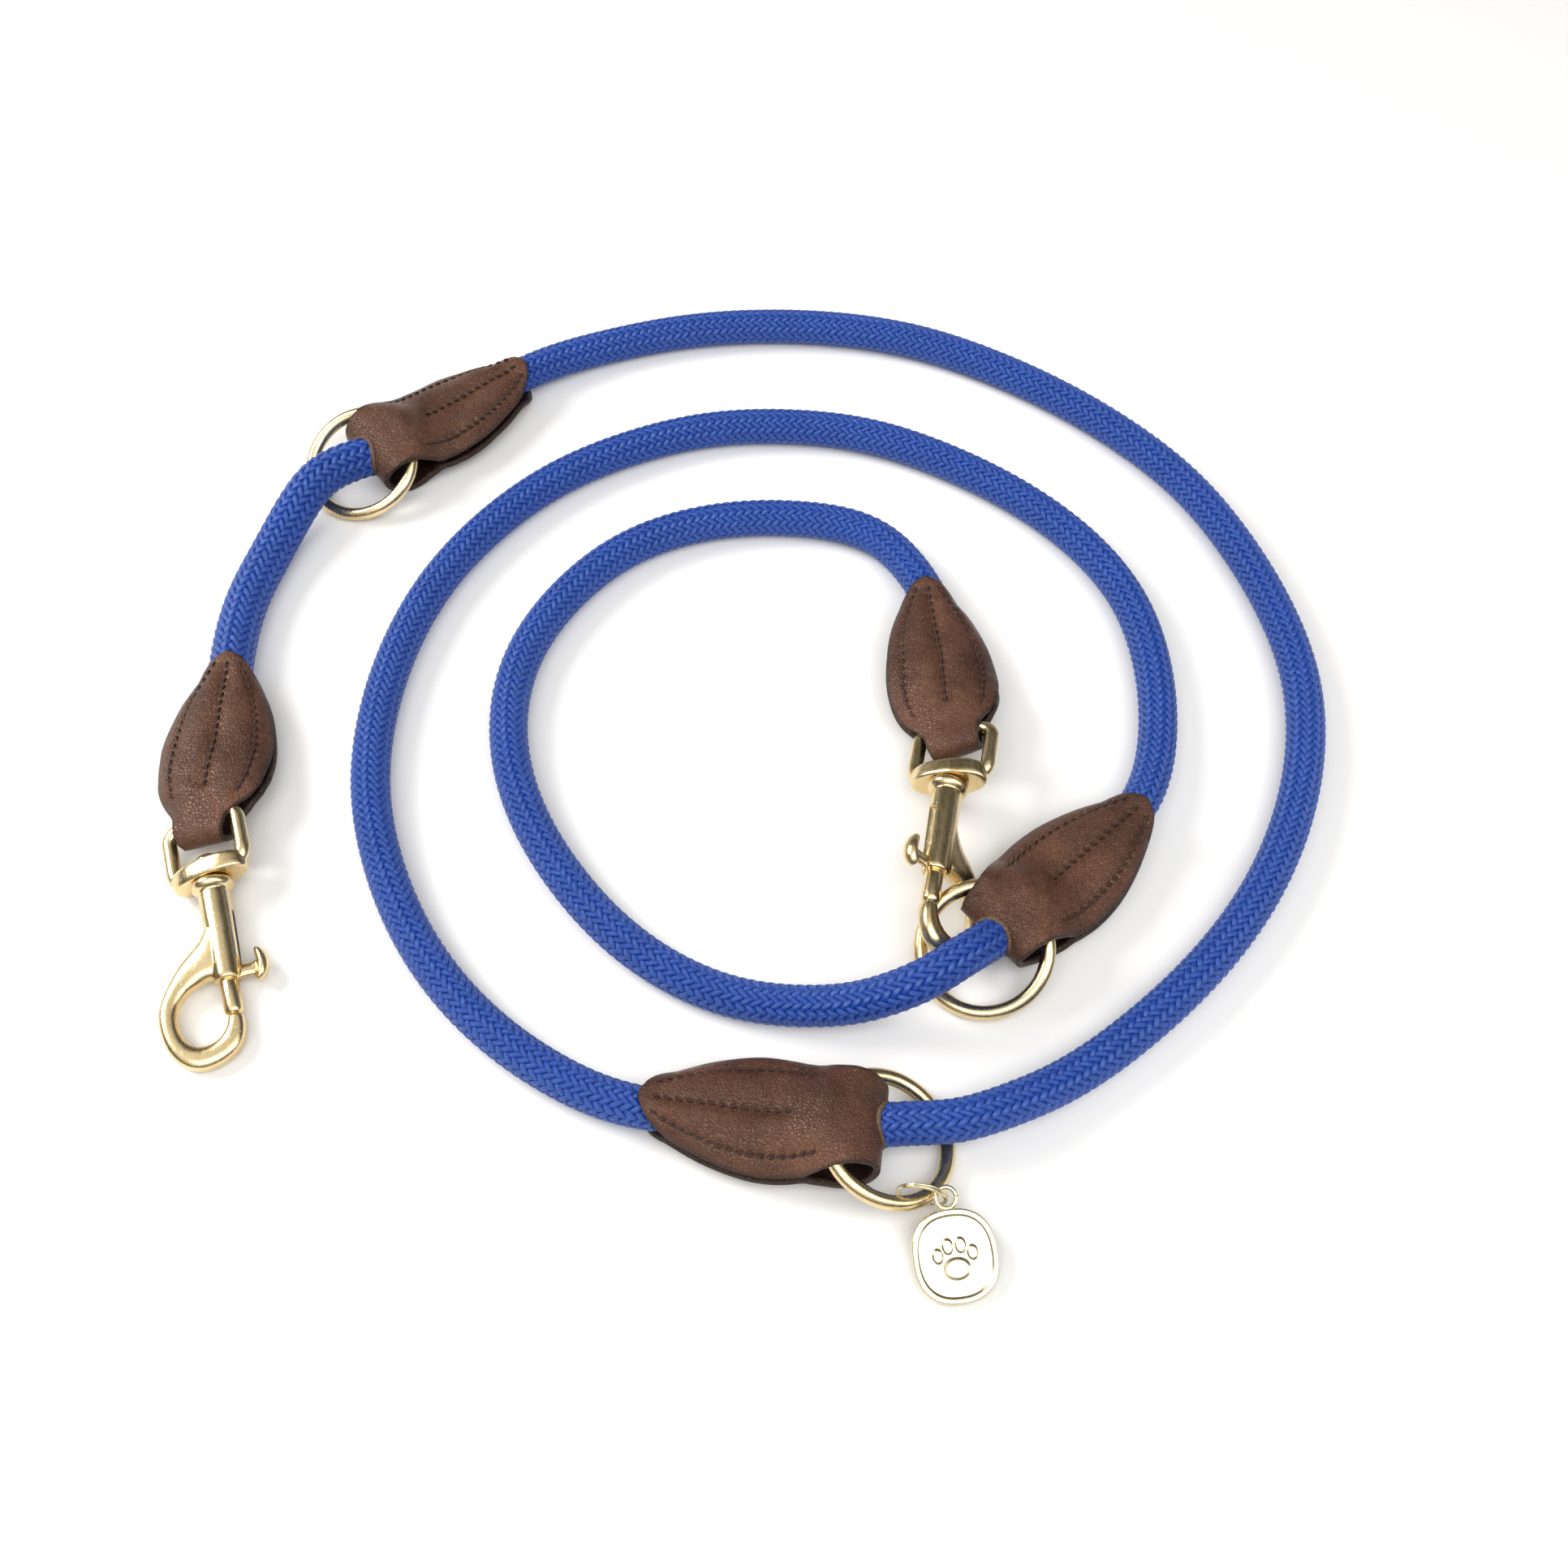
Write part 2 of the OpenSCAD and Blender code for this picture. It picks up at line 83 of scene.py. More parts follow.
# Leaves: fold's place, turn of the line from fold to point, end leaf or ring leaf, lift, roll.
LEAVES = {
    "a": ((-160.1, -20.6), 91.9, "end", 1.7, -20.0),
    "b": ((-132.1, 119.6), 39.4, "ring", 0.0, 8.0),
    "c": ((24.0, -104.5), 172.5, "ring", 0.0, 7.0),
    "d": ((55.1, -50.7), 42.2, "raised", 0.0, 6.0),
    "e": ((49.0, 7.5), 96.2, "end", 3.5, -24.0),
}
# Along the leaf, half width, middle height, rise above and drop below it, in mm.
STATIONS = {
    "ring": [
        (0, 11.9, 9.6, 8.2, 8.4), (2.5, 12.3, 9.5, 8.2, 8.4), (8, 13.2, 9.2, 8.7, 8.5),
        (14, 14.5, 8.6, 10.3, 8.5), (20, 15.5, 7.4, 9.0, 7.3), (26, 16, 6.8, 7.9, 6.8),
        (34, 15.4, 6.8, 7.6, 6.8), (43, 13.1, 7, 7.5, 7), (51, 9.9, 7.2, 7.4, 7.2),
        (56.5, 6.9, 7.3, 7.2, 7.3), (59.6, 3.6, 7.3, 7.1, 7.2), (61, 0.8, 7.3, 7, 7.1),
    ],
    "raised": [
        (0, 11.3, 12.4, 6.6, 8.0), (2.5, 11.6, 12.2, 6.8, 9.2), (8, 12.7, 10.8, 8.2, 10.5),
        (14, 14.5, 9.0, 10.1, 8.8), (20, 15.5, 7.4, 9.0, 7.3), (26, 16, 6.8, 7.9, 6.8),
        (34, 15.4, 6.8, 7.6, 6.8), (43, 13.1, 7, 7.5, 7), (51, 9.9, 7.2, 7.4, 7.2),
        (56.5, 6.9, 7.3, 7.2, 7.3), (59.6, 3.6, 7.3, 7.1, 7.2), (61, 0.8, 7.3, 7, 7.1),
    ],
    "end": [
        (0, 7.2, 7.2, 4.3, 4.3), (3, 7.7, 7.2, 4.4, 4.4), (6, 8.3, 7.2, 4.6, 4.5),
        (8.5, 10.2, 7.2, 4.9, 4.8), (12, 13.0, 7.2, 5.6, 5.3), (17, 15.2, 7.2, 6.5, 6.2),
        (23, 16, 7.2, 7.4, 6.9), (30, 15.8, 7.2, 7.6, 7.2), (38, 14.5, 7.2, 7.6, 7.2),
        (46, 12.1, 7.2, 7.5, 7.2), (53, 8.7, 7.2, 7.4, 7.2), (57.5, 5.6, 7.2, 7.3, 7.2),
        (59.9, 2.9, 7.2, 7.2, 7.1), (61, 0.8, 7.2, 7.1, 7),
    ],
}
# By kind of leaf: first stitch of the side rows and of the middle row, half height of the opening at the
# fold, where the opening starts to close, and how far the fold's round end reaches in.
FOLDS = {
    "ring": (15.0, 22.0, 7.9, 6.0, 9.0),
    "raised": (15.0, 22.0, 7.9, 6.0, 9.0),
    "end": (13.0, 15.0, 4.2, 3.0, 4.6),
}
LEAF_END = 61.0  # from the fold to the leaf's point
LAST_STITCH = 57.6
HIDE_T = 1.9  # thickness of one layer of leather
PITCH = 2.75  # one stitch to the next
THREAD_D = 0.95

RINGS = {
    "b": ((-134.2, 118.2, 8.75), 39.4, 8.0),
    "c": ((25.6, -106.2, 8.65), 172.5, 7.0),
    "d": ((53.1, -53.6, 8.6), 42.2, 6.0),
}
RING_TILT = 22.0  # how far a ring stands off the floor, in degrees
RING_R = 17.0  # to the middle of the wire
RING_WIRE = 4.0

# Hooks: swivel's place, turn, lean, roll of the hook, roll of its eye.
HOOKS = {
    1: ((-157.0, -29.8, 7.0), 17.2, 4.8, 180.0, -20.0),
    2: ((46.3, -1.8, 12.0), -10.4, -4.6, 40.0, -24.0),
}
EYE_BAR = 16.5  # swivel to the middle of the bar in the leather
ARM_X = 10.9  # swivel to the middle of an arm of the eye
EYE_WIRE = 4.3
BARREL_END = 32.8  # swivel to the barrel's open end
NOSE = 43.3  # swivel to the nose, where the bolt ends
BOLT_R = 2.55
BORE_R = BOLT_R + 0.08

# Split ring and tag: place, turn, lean.
SPLIT = ((34.0, -120.0, 6.8), -12.0, 90.0)
TAG = ((39.7, -121.0, 7.0), 8.0, 15.8)


# Geometry helpers -------------------------------------------------------


def turn(axis, degrees):
    return np.array(Matrix.Rotation(math.radians(degrees), 3, axis))


FLOOR_GAP = 0.02  # least height of rope and leather above the floor, in mm


def on_floor(points):
    """Points in metres, none of them under the floor."""
    points[:, 2] = np.maximum(points[:, 2], FLOOR_GAP * MM)
    return points


def placed(points, place, rotation):
    """Points in mm of a local frame, as metres in the shared frame."""
    p = np.zeros(3)
    p[: len(place)] = place
    return (np.asarray(points, float) @ rotation.T + p + SHIFT) * MM


def moved(obj, points):
    """obj with its vertices at points, in metres."""
    obj.data.vertices.foreach_set("co", points.astype(np.float32).ravel())
    obj.data.update()
    return obj


def distances(points):
    """Way from the first point to each one, along straight lines between them."""
    return np.concatenate([[0], np.cumsum(np.linalg.norm(np.diff(points, axis=0), axis=1))])


def spline(points, at, knots):
    """Natural cubic spline through points, which lie at knots, read off at the values in at."""
    p = np.asarray(points, float)
    h = np.diff(knots)
    n = len(p)
    a = np.eye(n)
    rhs = np.zeros_like(p)
    for i in range(1, n - 1):
        a[i, i - 1], a[i, i], a[i, i + 1] = h[i - 1], 2 * (h[i - 1] + h[i]), h[i]
        rhs[i] = 6 * ((p[i + 1] - p[i]) / h[i] - (p[i] - p[i - 1]) / h[i - 1])
    m = np.linalg.solve(a, rhs)
    i = np.clip(np.searchsorted(knots, at, side="right") - 1, 0, n - 2)
    left, right, w = (at - knots[i])[:, None], (knots[i + 1] - at)[:, None], h[i][:, None]
    return (
        m[i] * right**3 / (6 * w) + m[i + 1] * left**3 / (6 * w)
        + (p[i] / w - m[i] * w / 6) * right + (p[i + 1] / w - m[i + 1] * w / 6) * left
    )


def smooth_path(points, step):
    """The spline through points, resampled evenly about every step mm."""
    p = np.asarray(points, float)
    chord = distances(p)
    fine = spline(p, np.linspace(0, chord[-1], int(chord[-1] / 0.25)), chord)
    along = distances(fine)
    at = np.linspace(0, along[-1], max(2, int(round(along[-1] / step)) + 1))
    return np.stack([np.interp(at, along, fine[:, k]) for k in range(3)], 1), at


def squared(wave, power):
    """A sine or cosine pushed towards 1 and -1, for a rounded rectangle."""
    return np.sign(wave) * np.abs(wave) ** power


def unit(v):
    return v / np.maximum(np.linalg.norm(v, axis=-1, keepdims=True), 1e-12)


def path_frames(path):
    """Tangent and two square directions along a path, the first kept level."""
    t = unit(np.gradient(path, axis=0))
    side = unit(np.cross(t, UP))
    return t, side, np.cross(side, t)


def make_mesh(name, verts, quads, tris=None, uv=None):
    """A mesh object from arrays, with smooth faces; uv is one pair per vertex."""
    tris = np.zeros((0, 3), int) if tris is None else np.asarray(tris, int)
    quads = np.asarray(quads, int).reshape(-1, 4)
    mesh = bpy.data.meshes.new(name)
    loops = np.concatenate([quads.ravel(), tris.ravel()])
    mesh.vertices.add(len(verts))
    mesh.vertices.foreach_set("co", np.asarray(verts, np.float32).ravel())
    mesh.loops.add(len(loops))
    mesh.loops.foreach_set("vertex_index", loops.astype(np.int32))
    mesh.polygons.add(len(quads) + len(tris))
    starts = np.concatenate([
        np.arange(len(quads)) * 4, len(quads) * 4 + np.arange(len(tris)) * 3
    ])
    mesh.polygons.foreach_set("loop_start", starts.astype(np.int32))
    mesh.update(calc_edges=True)
    mesh.polygons.foreach_set("use_smooth", np.ones(len(mesh.polygons), bool))
    if uv is not None:
        layer = mesh.uv_layers.new(name="UVMap")
        layer.data.foreach_set("uv", np.asarray(uv, np.float32)[loops].ravel())
    mesh.validate()
    obj = bpy.data.objects.new(name, mesh)
    bpy.context.scene.collection.objects.link(obj)
    return obj


def tube_faces(rings, sides, start):
    """Quads round a tube of rings, and two caps as triangles."""
    i, k = np.meshgrid(np.arange(rings - 1), np.arange(sides), indexing="ij")
    a = start + i * sides + k
    b = start + i * sides + (k + 1) % sides
    quads = np.stack([a, b, b + sides, a + sides], -1).reshape(-1, 4)
    fan = np.arange(1, sides - 1)
    low = np.stack([np.full_like(fan, start), start + fan + 1, start + fan], -1)
    last = start + (rings - 1) * sides
    high = np.stack([np.full_like(fan, last), last + fan, last + fan + 1], -1)
    return quads, np.concatenate([low, high])


class Parts:
    """Gathers closed tubes into one mesh."""

    def __init__(self):
        self.verts, self.quads, self.tris, self.uv, self.count = [], [], [], [], 0

    def tube(self, rings, uv=None):
        """rings is an array of stations by sides by 3."""
        stations, sides = rings.shape[:2]
        quads, tris = tube_faces(stations, sides, self.count)
        self.verts.append(rings.reshape(-1, 3))
        self.quads.append(quads)
        self.tris.append(tris)
        self.uv.append(np.zeros((stations * sides, 2)) if uv is None else uv)
        self.count += stations * sides

    def build(self, name):
        return make_mesh(
            name, np.concatenate(self.verts), np.concatenate(self.quads),
            np.concatenate(self.tris), np.concatenate(self.uv),
        )

    def build_at(self, name, place, rotation):
        """The mesh, moved from a local frame in mm to its place."""
        return moved(self.build(name), placed(np.concatenate(self.verts), place, rotation))


def round_tube(path, radius, sides):
    """Rings of points round a path; radius is one number or one per point."""
    side, up = path_frames(path)[1:]
    a = np.linspace(0, 2 * math.pi, sides, endpoint=False)
    r = np.broadcast_to(np.asarray(radius, float), (len(path),))[:, None, None]
    return path[:, None] + r * (
        np.cos(a)[None, :, None] * side[:, None] + np.sin(a)[None, :, None] * up[:, None]
    )


def lathe(profile, sides=48):
    """Rings of a round bar along -Y: profile is distance from the swivel and radius."""
    a = np.linspace(0, 2 * math.pi, sides, endpoint=False)
    return np.array([
        np.stack([r * np.cos(a), np.full(sides, -t), r * np.sin(a)], -1) for t, r in profile
    ])


def finish_piece(obj, body, slot, material, *nodes):
    """Gives a piece its material and body, and hides the CAD nodes that it replaces. The slot is not
    used.
    """
    obj.data.materials.clear()
    obj.data.materials.append(material)
    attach(obj, body)
    if nodes:
        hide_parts(*nodes)
    return obj


def modified(obj, kind, **settings):
    """obj with one modifier applied."""
    modifier = obj.modifiers.new(kind, kind)
    for key, value in settings.items():
        setattr(modifier, key, value)
    graph = bpy.context.evaluated_depsgraph_get()
    mesh = bpy.data.meshes.new_from_object(obj.evaluated_get(graph))
    obj.modifiers.clear()
    old = obj.data
    obj.data = mesh
    bpy.data.meshes.remove(old)
    obj.data.polygons.foreach_set("use_smooth", np.ones(len(obj.data.polygons), bool))
    return obj


# Materials --------------------------------------------------------------


class Nodes:
    """Short calls for a material's node tree. Mix nodes have numbered sockets, by data type."""

    def __init__(self, name):
        self.material = bpy.data.materials.new(name)
        self.material.use_nodes = True
        self.tree = self.material.node_tree
        self.shader = self.tree.nodes["Principled BSDF"]

    def new(self, kind, inputs=(), **settings):
        node = self.tree.nodes.new(kind)
        for key, value in settings.items():
            setattr(node, key, value)
        for key, value in dict(inputs).items():
            self.put(node, key, value)
        return node

    def put(self, node, key, value):
        socket = node.inputs[key]
        if isinstance(value, bpy.types.NodeSocket):
            self.tree.links.new(value, socket)
        else:
            socket.default_value = value

    def set(self, **values):
        for key, value in values.items():
            self.put(self.shader, key.replace("_", " "), value)

    def ramp(self, value, *stops):
        node = self.new("ShaderNodeValToRGB", {"Fac": value})
        elements = node.color_ramp.elements
        for i, (at, colour) in enumerate(stops):
            element = elements[i] if i < 2 else elements.new(at)
            element.position = at
            element.color = (*colour, 1)
        return node.outputs["Color"]

    def noise(self, vector, scale, detail=3.0, roughness=0.5):
        node = self.new(
            "ShaderNodeTexNoise",
            {"Vector": vector, "Scale": scale, "Detail": detail, "Roughness": roughness},
        )
        return node.outputs["Fac"]

    def mixed(self, kind, factor, a, b):
        node = self.new("ShaderNodeMix", data_type="RGBA", blend_type=kind)
        self.put(node, 0, factor)
        self.put(node, 6, a)
        self.put(node, 7, b)
        return node.outputs[2]

    def math(self, operation, a, b=0.0):
        node = self.new("ShaderNodeMath", {0: a, 1: b}, operation=operation)
        return node.outputs[0]

    def position(self):
        return self.new("ShaderNodeTexCoord").outputs["Object"]

    def bump(self, height, distance, strength=1.0, normal=None):
        inputs = {"Height": height, "Distance": distance, "Strength": strength}
        if normal is not None:
            inputs["Normal"] = normal
        return self.new("ShaderNodeBump", inputs).outputs["Normal"]


def rope_material():
    """Glossy blue filament yarn; UV runs along a yarn in x and across it in y."""
    n = Nodes("royal_blue_yarn")
    uv = n.new("ShaderNodeTexCoord").outputs["UV"]
    stretch = n.new("ShaderNodeMapping", {"Vector": uv, "Scale": (0.25, 5.0, 1.0)})
    filaments = n.noise(stretch.outputs["Vector"], 4.0, 4.0, 0.65)
    patches = n.noise(n.position(), 90.0, 2.0)
    thread = n.ramp(
        filaments, (0.3, (0.003, 0.015, 0.13)), (0.7, (0.016, 0.1, 0.58)),
    )
    colour = n.mixed("MULTIPLY", 0.35, thread, n.ramp(
        patches, (0.3, (0.55, 0.6, 0.7)), (0.7, (1, 1, 1)),
    ))
    n.set(
        Base_Color=colour, Roughness=0.27, Specular_IOR_Level=1.0,
        Specular_Tint=(0.6, 0.78, 1.0, 1), Sheen_Weight=0.08, Sheen_Roughness=0.35,
        Sheen_Tint=(0.45, 0.6, 1.0, 1), Normal=n.bump(filaments, 0.00018, 0.8),
    )
    return n.material


def core_material():
    """The shaded inside of the rope, seen between yarns."""
    n = Nodes("rope_core_blue")
    grain = n.noise(n.position(), 2500.0, 2.0)
    # The near-black blue is painted shade in the gaps between the yarns.
    n.set(
        Base_Color=n.ramp(grain, (0.3, (0.001, 0.005, 0.04)), (0.7, (0.003, 0.014, 0.09))),
        Roughness=0.7,
    )
    return n.material


def leather_material():
    """Waxed chocolate hide with a pebble grain and burnished edges (attribute 'edge')."""
    n = Nodes("chocolate_leather")
    p = n.position()
    edge = n.new("ShaderNodeAttribute", attribute_name="edge").outputs["Fac"]
    wear = n.noise(p, 42.0, 4.0, 0.6)
    mottle = n.noise(p, 210.0, 4.0, 0.6)
    warped = n.new("ShaderNodeMix", data_type="VECTOR")
    n.put(warped, 0, 0.0012)
    n.put(warped, 4, p)
    fine = n.new("ShaderNodeTexNoise", {"Vector": p, "Scale": 700.0, "Detail": 2.0})
    n.put(warped, 5, fine.outputs["Color"])
    cells = n.new(
        "ShaderNodeTexVoronoi", {"Vector": warped.outputs[1], "Scale": 1050.0, "Randomness": 1.0},
        feature="DISTANCE_TO_EDGE",
    ).outputs["Distance"]
    grain = n.ramp(cells, (0.0, (0, 0, 0)), (0.22, (1, 1, 1)))
    hide = n.ramp(
        wear, (0.28, (0.060, 0.023, 0.014)), (0.5, (0.118, 0.048, 0.028)),
        (0.72, (0.195, 0.084, 0.048)),
    )
    hide = n.mixed("MULTIPLY", 0.45, hide, n.ramp(
        mottle, (0.3, (0.55, 0.5, 0.48)), (0.7, (1, 1, 1)),
    ))
    hide = n.mixed("MULTIPLY", 0.4, hide, grain)
    hide = n.mixed("MIX", edge, hide, (0.022, 0.012, 0.009, 1))
    rough = n.math("ADD", n.math("MULTIPLY", wear, -0.2), 0.46)
    creases = n.noise(p, 330.0, 5.0, 0.62)
    normal = n.bump(grain, 0.00014, 0.85)
    normal = n.bump(creases, 0.0006, 0.5, normal)
    n.set(
        Base_Color=hide, Roughness=rough, Specular_IOR_Level=0.42,
        Specular_Tint=(1.0, 0.86, 0.76, 1), Normal=normal,
    )
    return n.material


def cut_edge_material():
    """The lighter raw edge of the hide round a rope's hole."""
    n = Nodes("cut_leather_edge")
    fibre = n.noise(n.position(), 1600.0, 3.0)
    n.set(
        Base_Color=n.ramp(fibre, (0.3, (0.06, 0.03, 0.018)), (0.75, (0.2, 0.12, 0.07))),
        Roughness=0.75, Normal=n.bump(fibre, 0.0002, 0.6),
    )
    return n.material


def thread_material():
    n = Nodes("dark_waxed_thread")
    uv = n.new("ShaderNodeTexCoord").outputs["UV"]
    twist_relief_and_painted_light = n.new(
        "ShaderNodeTexWave", {"Vector": uv, "Scale": 1.6, "Distortion": 1.2, "Detail": 2.0},
        bands_direction="DIAGONAL",
    ).outputs["Fac"]
    # The twist's bands run darker in the grooves and lighter on the plies: painted shade and painted
    # highlight. The same bands also give the bump.
    n.set(
        Base_Color=n.ramp(twist_relief_and_painted_light, (0.2, (0.012, 0.006, 0.004)), (0.8, (0.1, 0.05, 0.035))),
        Roughness=0.32, Normal=n.bump(twist_relief_and_painted_light, 0.00018, 0.9),
    )
    return n.material


def brass_material(name, light, dark, pits):
    """Polished cast brass with fine pits, faint scratches and a little tarnish."""
    n = Nodes(name)
    p = n.position()
    cloud = n.noise(p, 65.0, 4.0, 0.6)
    spots = n.new(
        "ShaderNodeTexVoronoi", {"Vector": p, "Scale": 760.0, "Randomness": 1.0}
    ).outputs["Distance"]
    pit = n.ramp(spots, (0.06, (0, 0, 0)), (0.17, (1, 1, 1)))
    brushed = n.new("ShaderNodeMapping", {"Vector": p, "Scale": (1.0, 0.12, 1.0)})
    scratch = n.noise(brushed.outputs["Vector"], 1500.0, 3.0, 0.7)
    colour = n.mixed("MULTIPLY", 0.35, n.ramp(cloud, (0.3, dark), (0.7, light)), pit)
    rough = n.math("ADD", n.math("MULTIPLY", scratch, 0.24), 0.13)
    normal = n.bump(pit, 0.00006 * pits, 0.5)
    normal = n.bump(cloud, 0.0009 * pits, 0.25, normal)
    normal = n.bump(scratch, 0.00002, 0.35, normal)
    n.set(Base_Color=colour, Metallic=1.0, Roughness=rough, Normal=normal)
    return n.material


def steel_material():
    n = Nodes("spring_wire_steel")
    grain = n.noise(n.position(), 1900.0, 3.0)
    n.set(
        Base_Color=n.ramp(grain, (0.3, (0.32, 0.31, 0.3)), (0.7, (0.6, 0.59, 0.57))),
        Metallic=1.0, Roughness=n.math("ADD", n.math("MULTIPLY", grain, 0.2), 0.25),
    )
    return n.material


def floor_material():
    n = Nodes("pale_backdrop")
    n.set(Base_Color=(0.9, 0.895, 0.88, 1), Roughness=0.85, Specular_IOR_Level=0.15)
    return n.material


YARN = rope_material()
CORE = core_material()
LEATHER = leather_material()
CUT_EDGE = cut_edge_material()
THREAD = thread_material()
BRASS = brass_material("polished_brass", (0.86, 0.70, 0.41), (0.72, 0.55, 0.29), 1.0)
PALE_GOLD = brass_material("pale_gold_plate", (0.85, 0.78, 0.55), (0.76, 0.66, 0.42), 0.3)
STEEL = steel_material()


# Camera, floor and light --------------------------------------------------


CAMERA = (0.0, -261.8, 424.4)  # in mm of the layout
CAMERA_TILT = 58.0  # degrees down from level


def camera():
    data = bpy.data.cameras.new("camera")
    data.lens = 40.0
    data.sensor_width = 36.0
    data.clip_start, data.clip_end = 0.02, 10
    obj = bpy.data.objects.new("camera", data)
    bpy.context.scene.collection.objects.link(obj)
    obj.location = Vector((np.array(CAMERA) + SHIFT) * MM)
    tilt = math.radians(CAMERA_TILT)
    view = Vector((0, math.cos(tilt), -math.sin(tilt)))
    obj.rotation_euler = view.to_track_quat("-Z", "Y").to_euler()
    bpy.context.scene.camera = obj


LIT_POINT = (0.03, 0, 0)  # metres


def area_light(name, place, size, power, colour=(1, 1, 1)):
    data = bpy.data.lights.new(name, "AREA")
    data.shape = "RECTANGLE"
    data.size, data.size_y = size
    data.energy = power
    data.color = colour
    obj = bpy.data.objects.new(name, data)
    obj.location = place
    beam = Vector(LIT_POINT) - Vector(place)
    obj.rotation_euler = beam.to_track_quat("-Z", "Y").to_euler()
    bpy.context.scene.collection.objects.link(obj)


def backdrop():
    floor = make_mesh(
        "floor", [(-3, -3, 0), (3, -3, 0), (3, 3, 0), (-3, 3, 0)], [(0, 1, 2, 3)]
    )
    floor.location.z = -0.0002
    floor.data.materials.append(floor_material())


def sky():
    """Bright overhead and dark low down, so that the brass has something to reflect."""
    world = bpy.data.worlds.new("studio")
    world.use_nodes = True
    tree = world.node_tree
    coordinate = tree.nodes.new("ShaderNodeTexCoord")
    height = tree.nodes.new("ShaderNodeVectorMath")
    height.operation = "DOT_PRODUCT"
    height.inputs[1].default_value = (0.0, -0.35, 1.0)
    ramp = tree.nodes.new("ShaderNodeValToRGB")
    stops = ((0.0, 0.4), (0.16, 0.08), (0.5, 0.12), (0.66, 0.3), (0.8, 0.9), (1.0, 1.1))
    for i, (at, grey) in enumerate(stops):
        elements = ramp.color_ramp.elements
        element = elements[i] if i < 2 else elements.new(at)
        element.position = at
        element.color = (grey, grey * 0.985, grey * 0.96, 1)
    background = tree.nodes["Background"]
    tree.links.new(coordinate.outputs["Generated"], height.inputs[0])
    tree.links.new(height.outputs["Value"], ramp.inputs[0])
    tree.links.new(ramp.outputs["Color"], background.inputs["Color"])
    background.inputs["Strength"].default_value = 0.75
    bpy.context.scene.world = world


def studio():
    backdrop()
    area_light("key", (-0.95, 0.35, 0.8), (0.6, 0.6), 13.0, (1, 0.985, 0.96))
    area_light("fill", (0.8, -0.35, 0.7), (0.5, 0.9), 2.6)
    area_light("top", (0.15, -0.55, 1.15), (1.5, 0.8), 9.0)
    sky()
    bpy.context.scene.view_settings.view_transform = "Standard"


# Rope ---------------------------------------------------------------------

YARNS = 16  # yarns each way round
LAY = 43.2  # length of one turn of a yarn on the 11 mm rope
YARN_SIDES = 8
# For the 11 mm rope: middle of the braid's layer, how far a yarn weaves in and out of it, half width and
# half height of a yarn, and radius of the core, whose near-black colour is painted shade between the
# yarns.
BRAID_R = 4.47
WEAVE = 0.53
YARN_W = 0.8
YARN_H = 0.66
CORE_R = 3.9


def squeezed(path):
    """The rope's thickness along its path, as a share: inside the leaves it is pressed thinner."""
    share = np.ones(len(path))
    for place, about_z in (row[:2] for row in LEAVES.values()):
        local = (path - SHIFT - (*place, 0)) @ turn("Z", about_z - 90)
        depth = np.clip(np.minimum(58 - local[:, 1], local[:, 1] - 5) / 8, 0, 1)
        inside = depth * (np.abs(local[:, 0]) < 14)
        share = np.minimum(share, 1 - 0.2 * inside**2 * (3 - 2 * inside))
    return share


def braided_rope(number):
    """A two-over-two braid of 32 yarns on a core coloured near-black as painted shade, along its route.
    """
    diameter = ROPE_D[number]
    k = diameter / 11.0
    lay = LAY * k
    path, along = smooth_path(ROUTES[number], lay / YARNS / 4)
    path = path + SHIFT
    side, up = path_frames(path)[1:]
    press = squeezed(path)
    middle, wave = BRAID_R * k * press, WEAVE * k * press
    half_w, half_h = YARN_W * k, YARN_H * k
    a = np.linspace(0, 2 * math.pi, YARN_SIDES, endpoint=False) + math.pi / 6
    rope = Parts()
    for way in (1, -1):
        for i in range(YARNS):
            angle = 2 * math.pi * (i / YARNS + way * along / lay)
            c = np.cos(YARNS / 2 * angle - math.pi / 4)
            r = middle - way * wave * np.clip(1.25 * c, -1, 1)
            out = np.cos(angle)[:, None] * side + np.sin(angle)[:, None] * up
            centre = path + r[:, None] * out
            run = unit(np.gradient(centre, axis=0))
            across = unit(np.cross(run, out))
            lift = np.cross(across, run)
            ring = centre[:, None] + half_w * np.cos(a)[None, :, None] * across[:, None]
            ring = ring + half_h * np.sin(a)[None, :, None] * lift[:, None]
            ring[..., 2] = np.maximum(ring[..., 2], FLOOR_GAP)
            u = np.repeat(along[:, None] / k, YARN_SIDES, 1) + i * 7.3
            v = np.broadcast_to(np.abs(a - math.pi)[None] / math.pi * 2, u.shape)
            v = v + i + 40 * (way > 0)
            rope.tube(ring, np.stack([u, v], -1).reshape(-1, 2))
    piece = rope.build(f"rope_{number}_braid")
    piece.data.transform(Matrix.Scale(MM, 4))
    finish_piece(piece, "lead", "rope", YARN, f"rope_{number}")
    core = make_core(number, path[::4], CORE_R * k * press[::4])


def make_core(number, path, radius):
    parts = Parts()
    parts.tube(round_tube(path, radius, 16))
    core = parts.build(f"rope_{number}_core")
    core.data.transform(Matrix.Scale(MM, 4))
    return finish_piece(core, "lead", "rope", CORE)


# Leather leaves -----------------------------------------------------------

ROPE_HUG = 7.3  # outside of the leather over the rope, from the rope's middle
FOLD_Y = -1.2  # the fold's outermost line, in the leaf's frame
SIDE_GROOVE = 0.75  # depth of the grooves that the rows of stitches pull into the leather
CENTRE_GROOVE = 1.0
CENTRE_LINE = 0.45


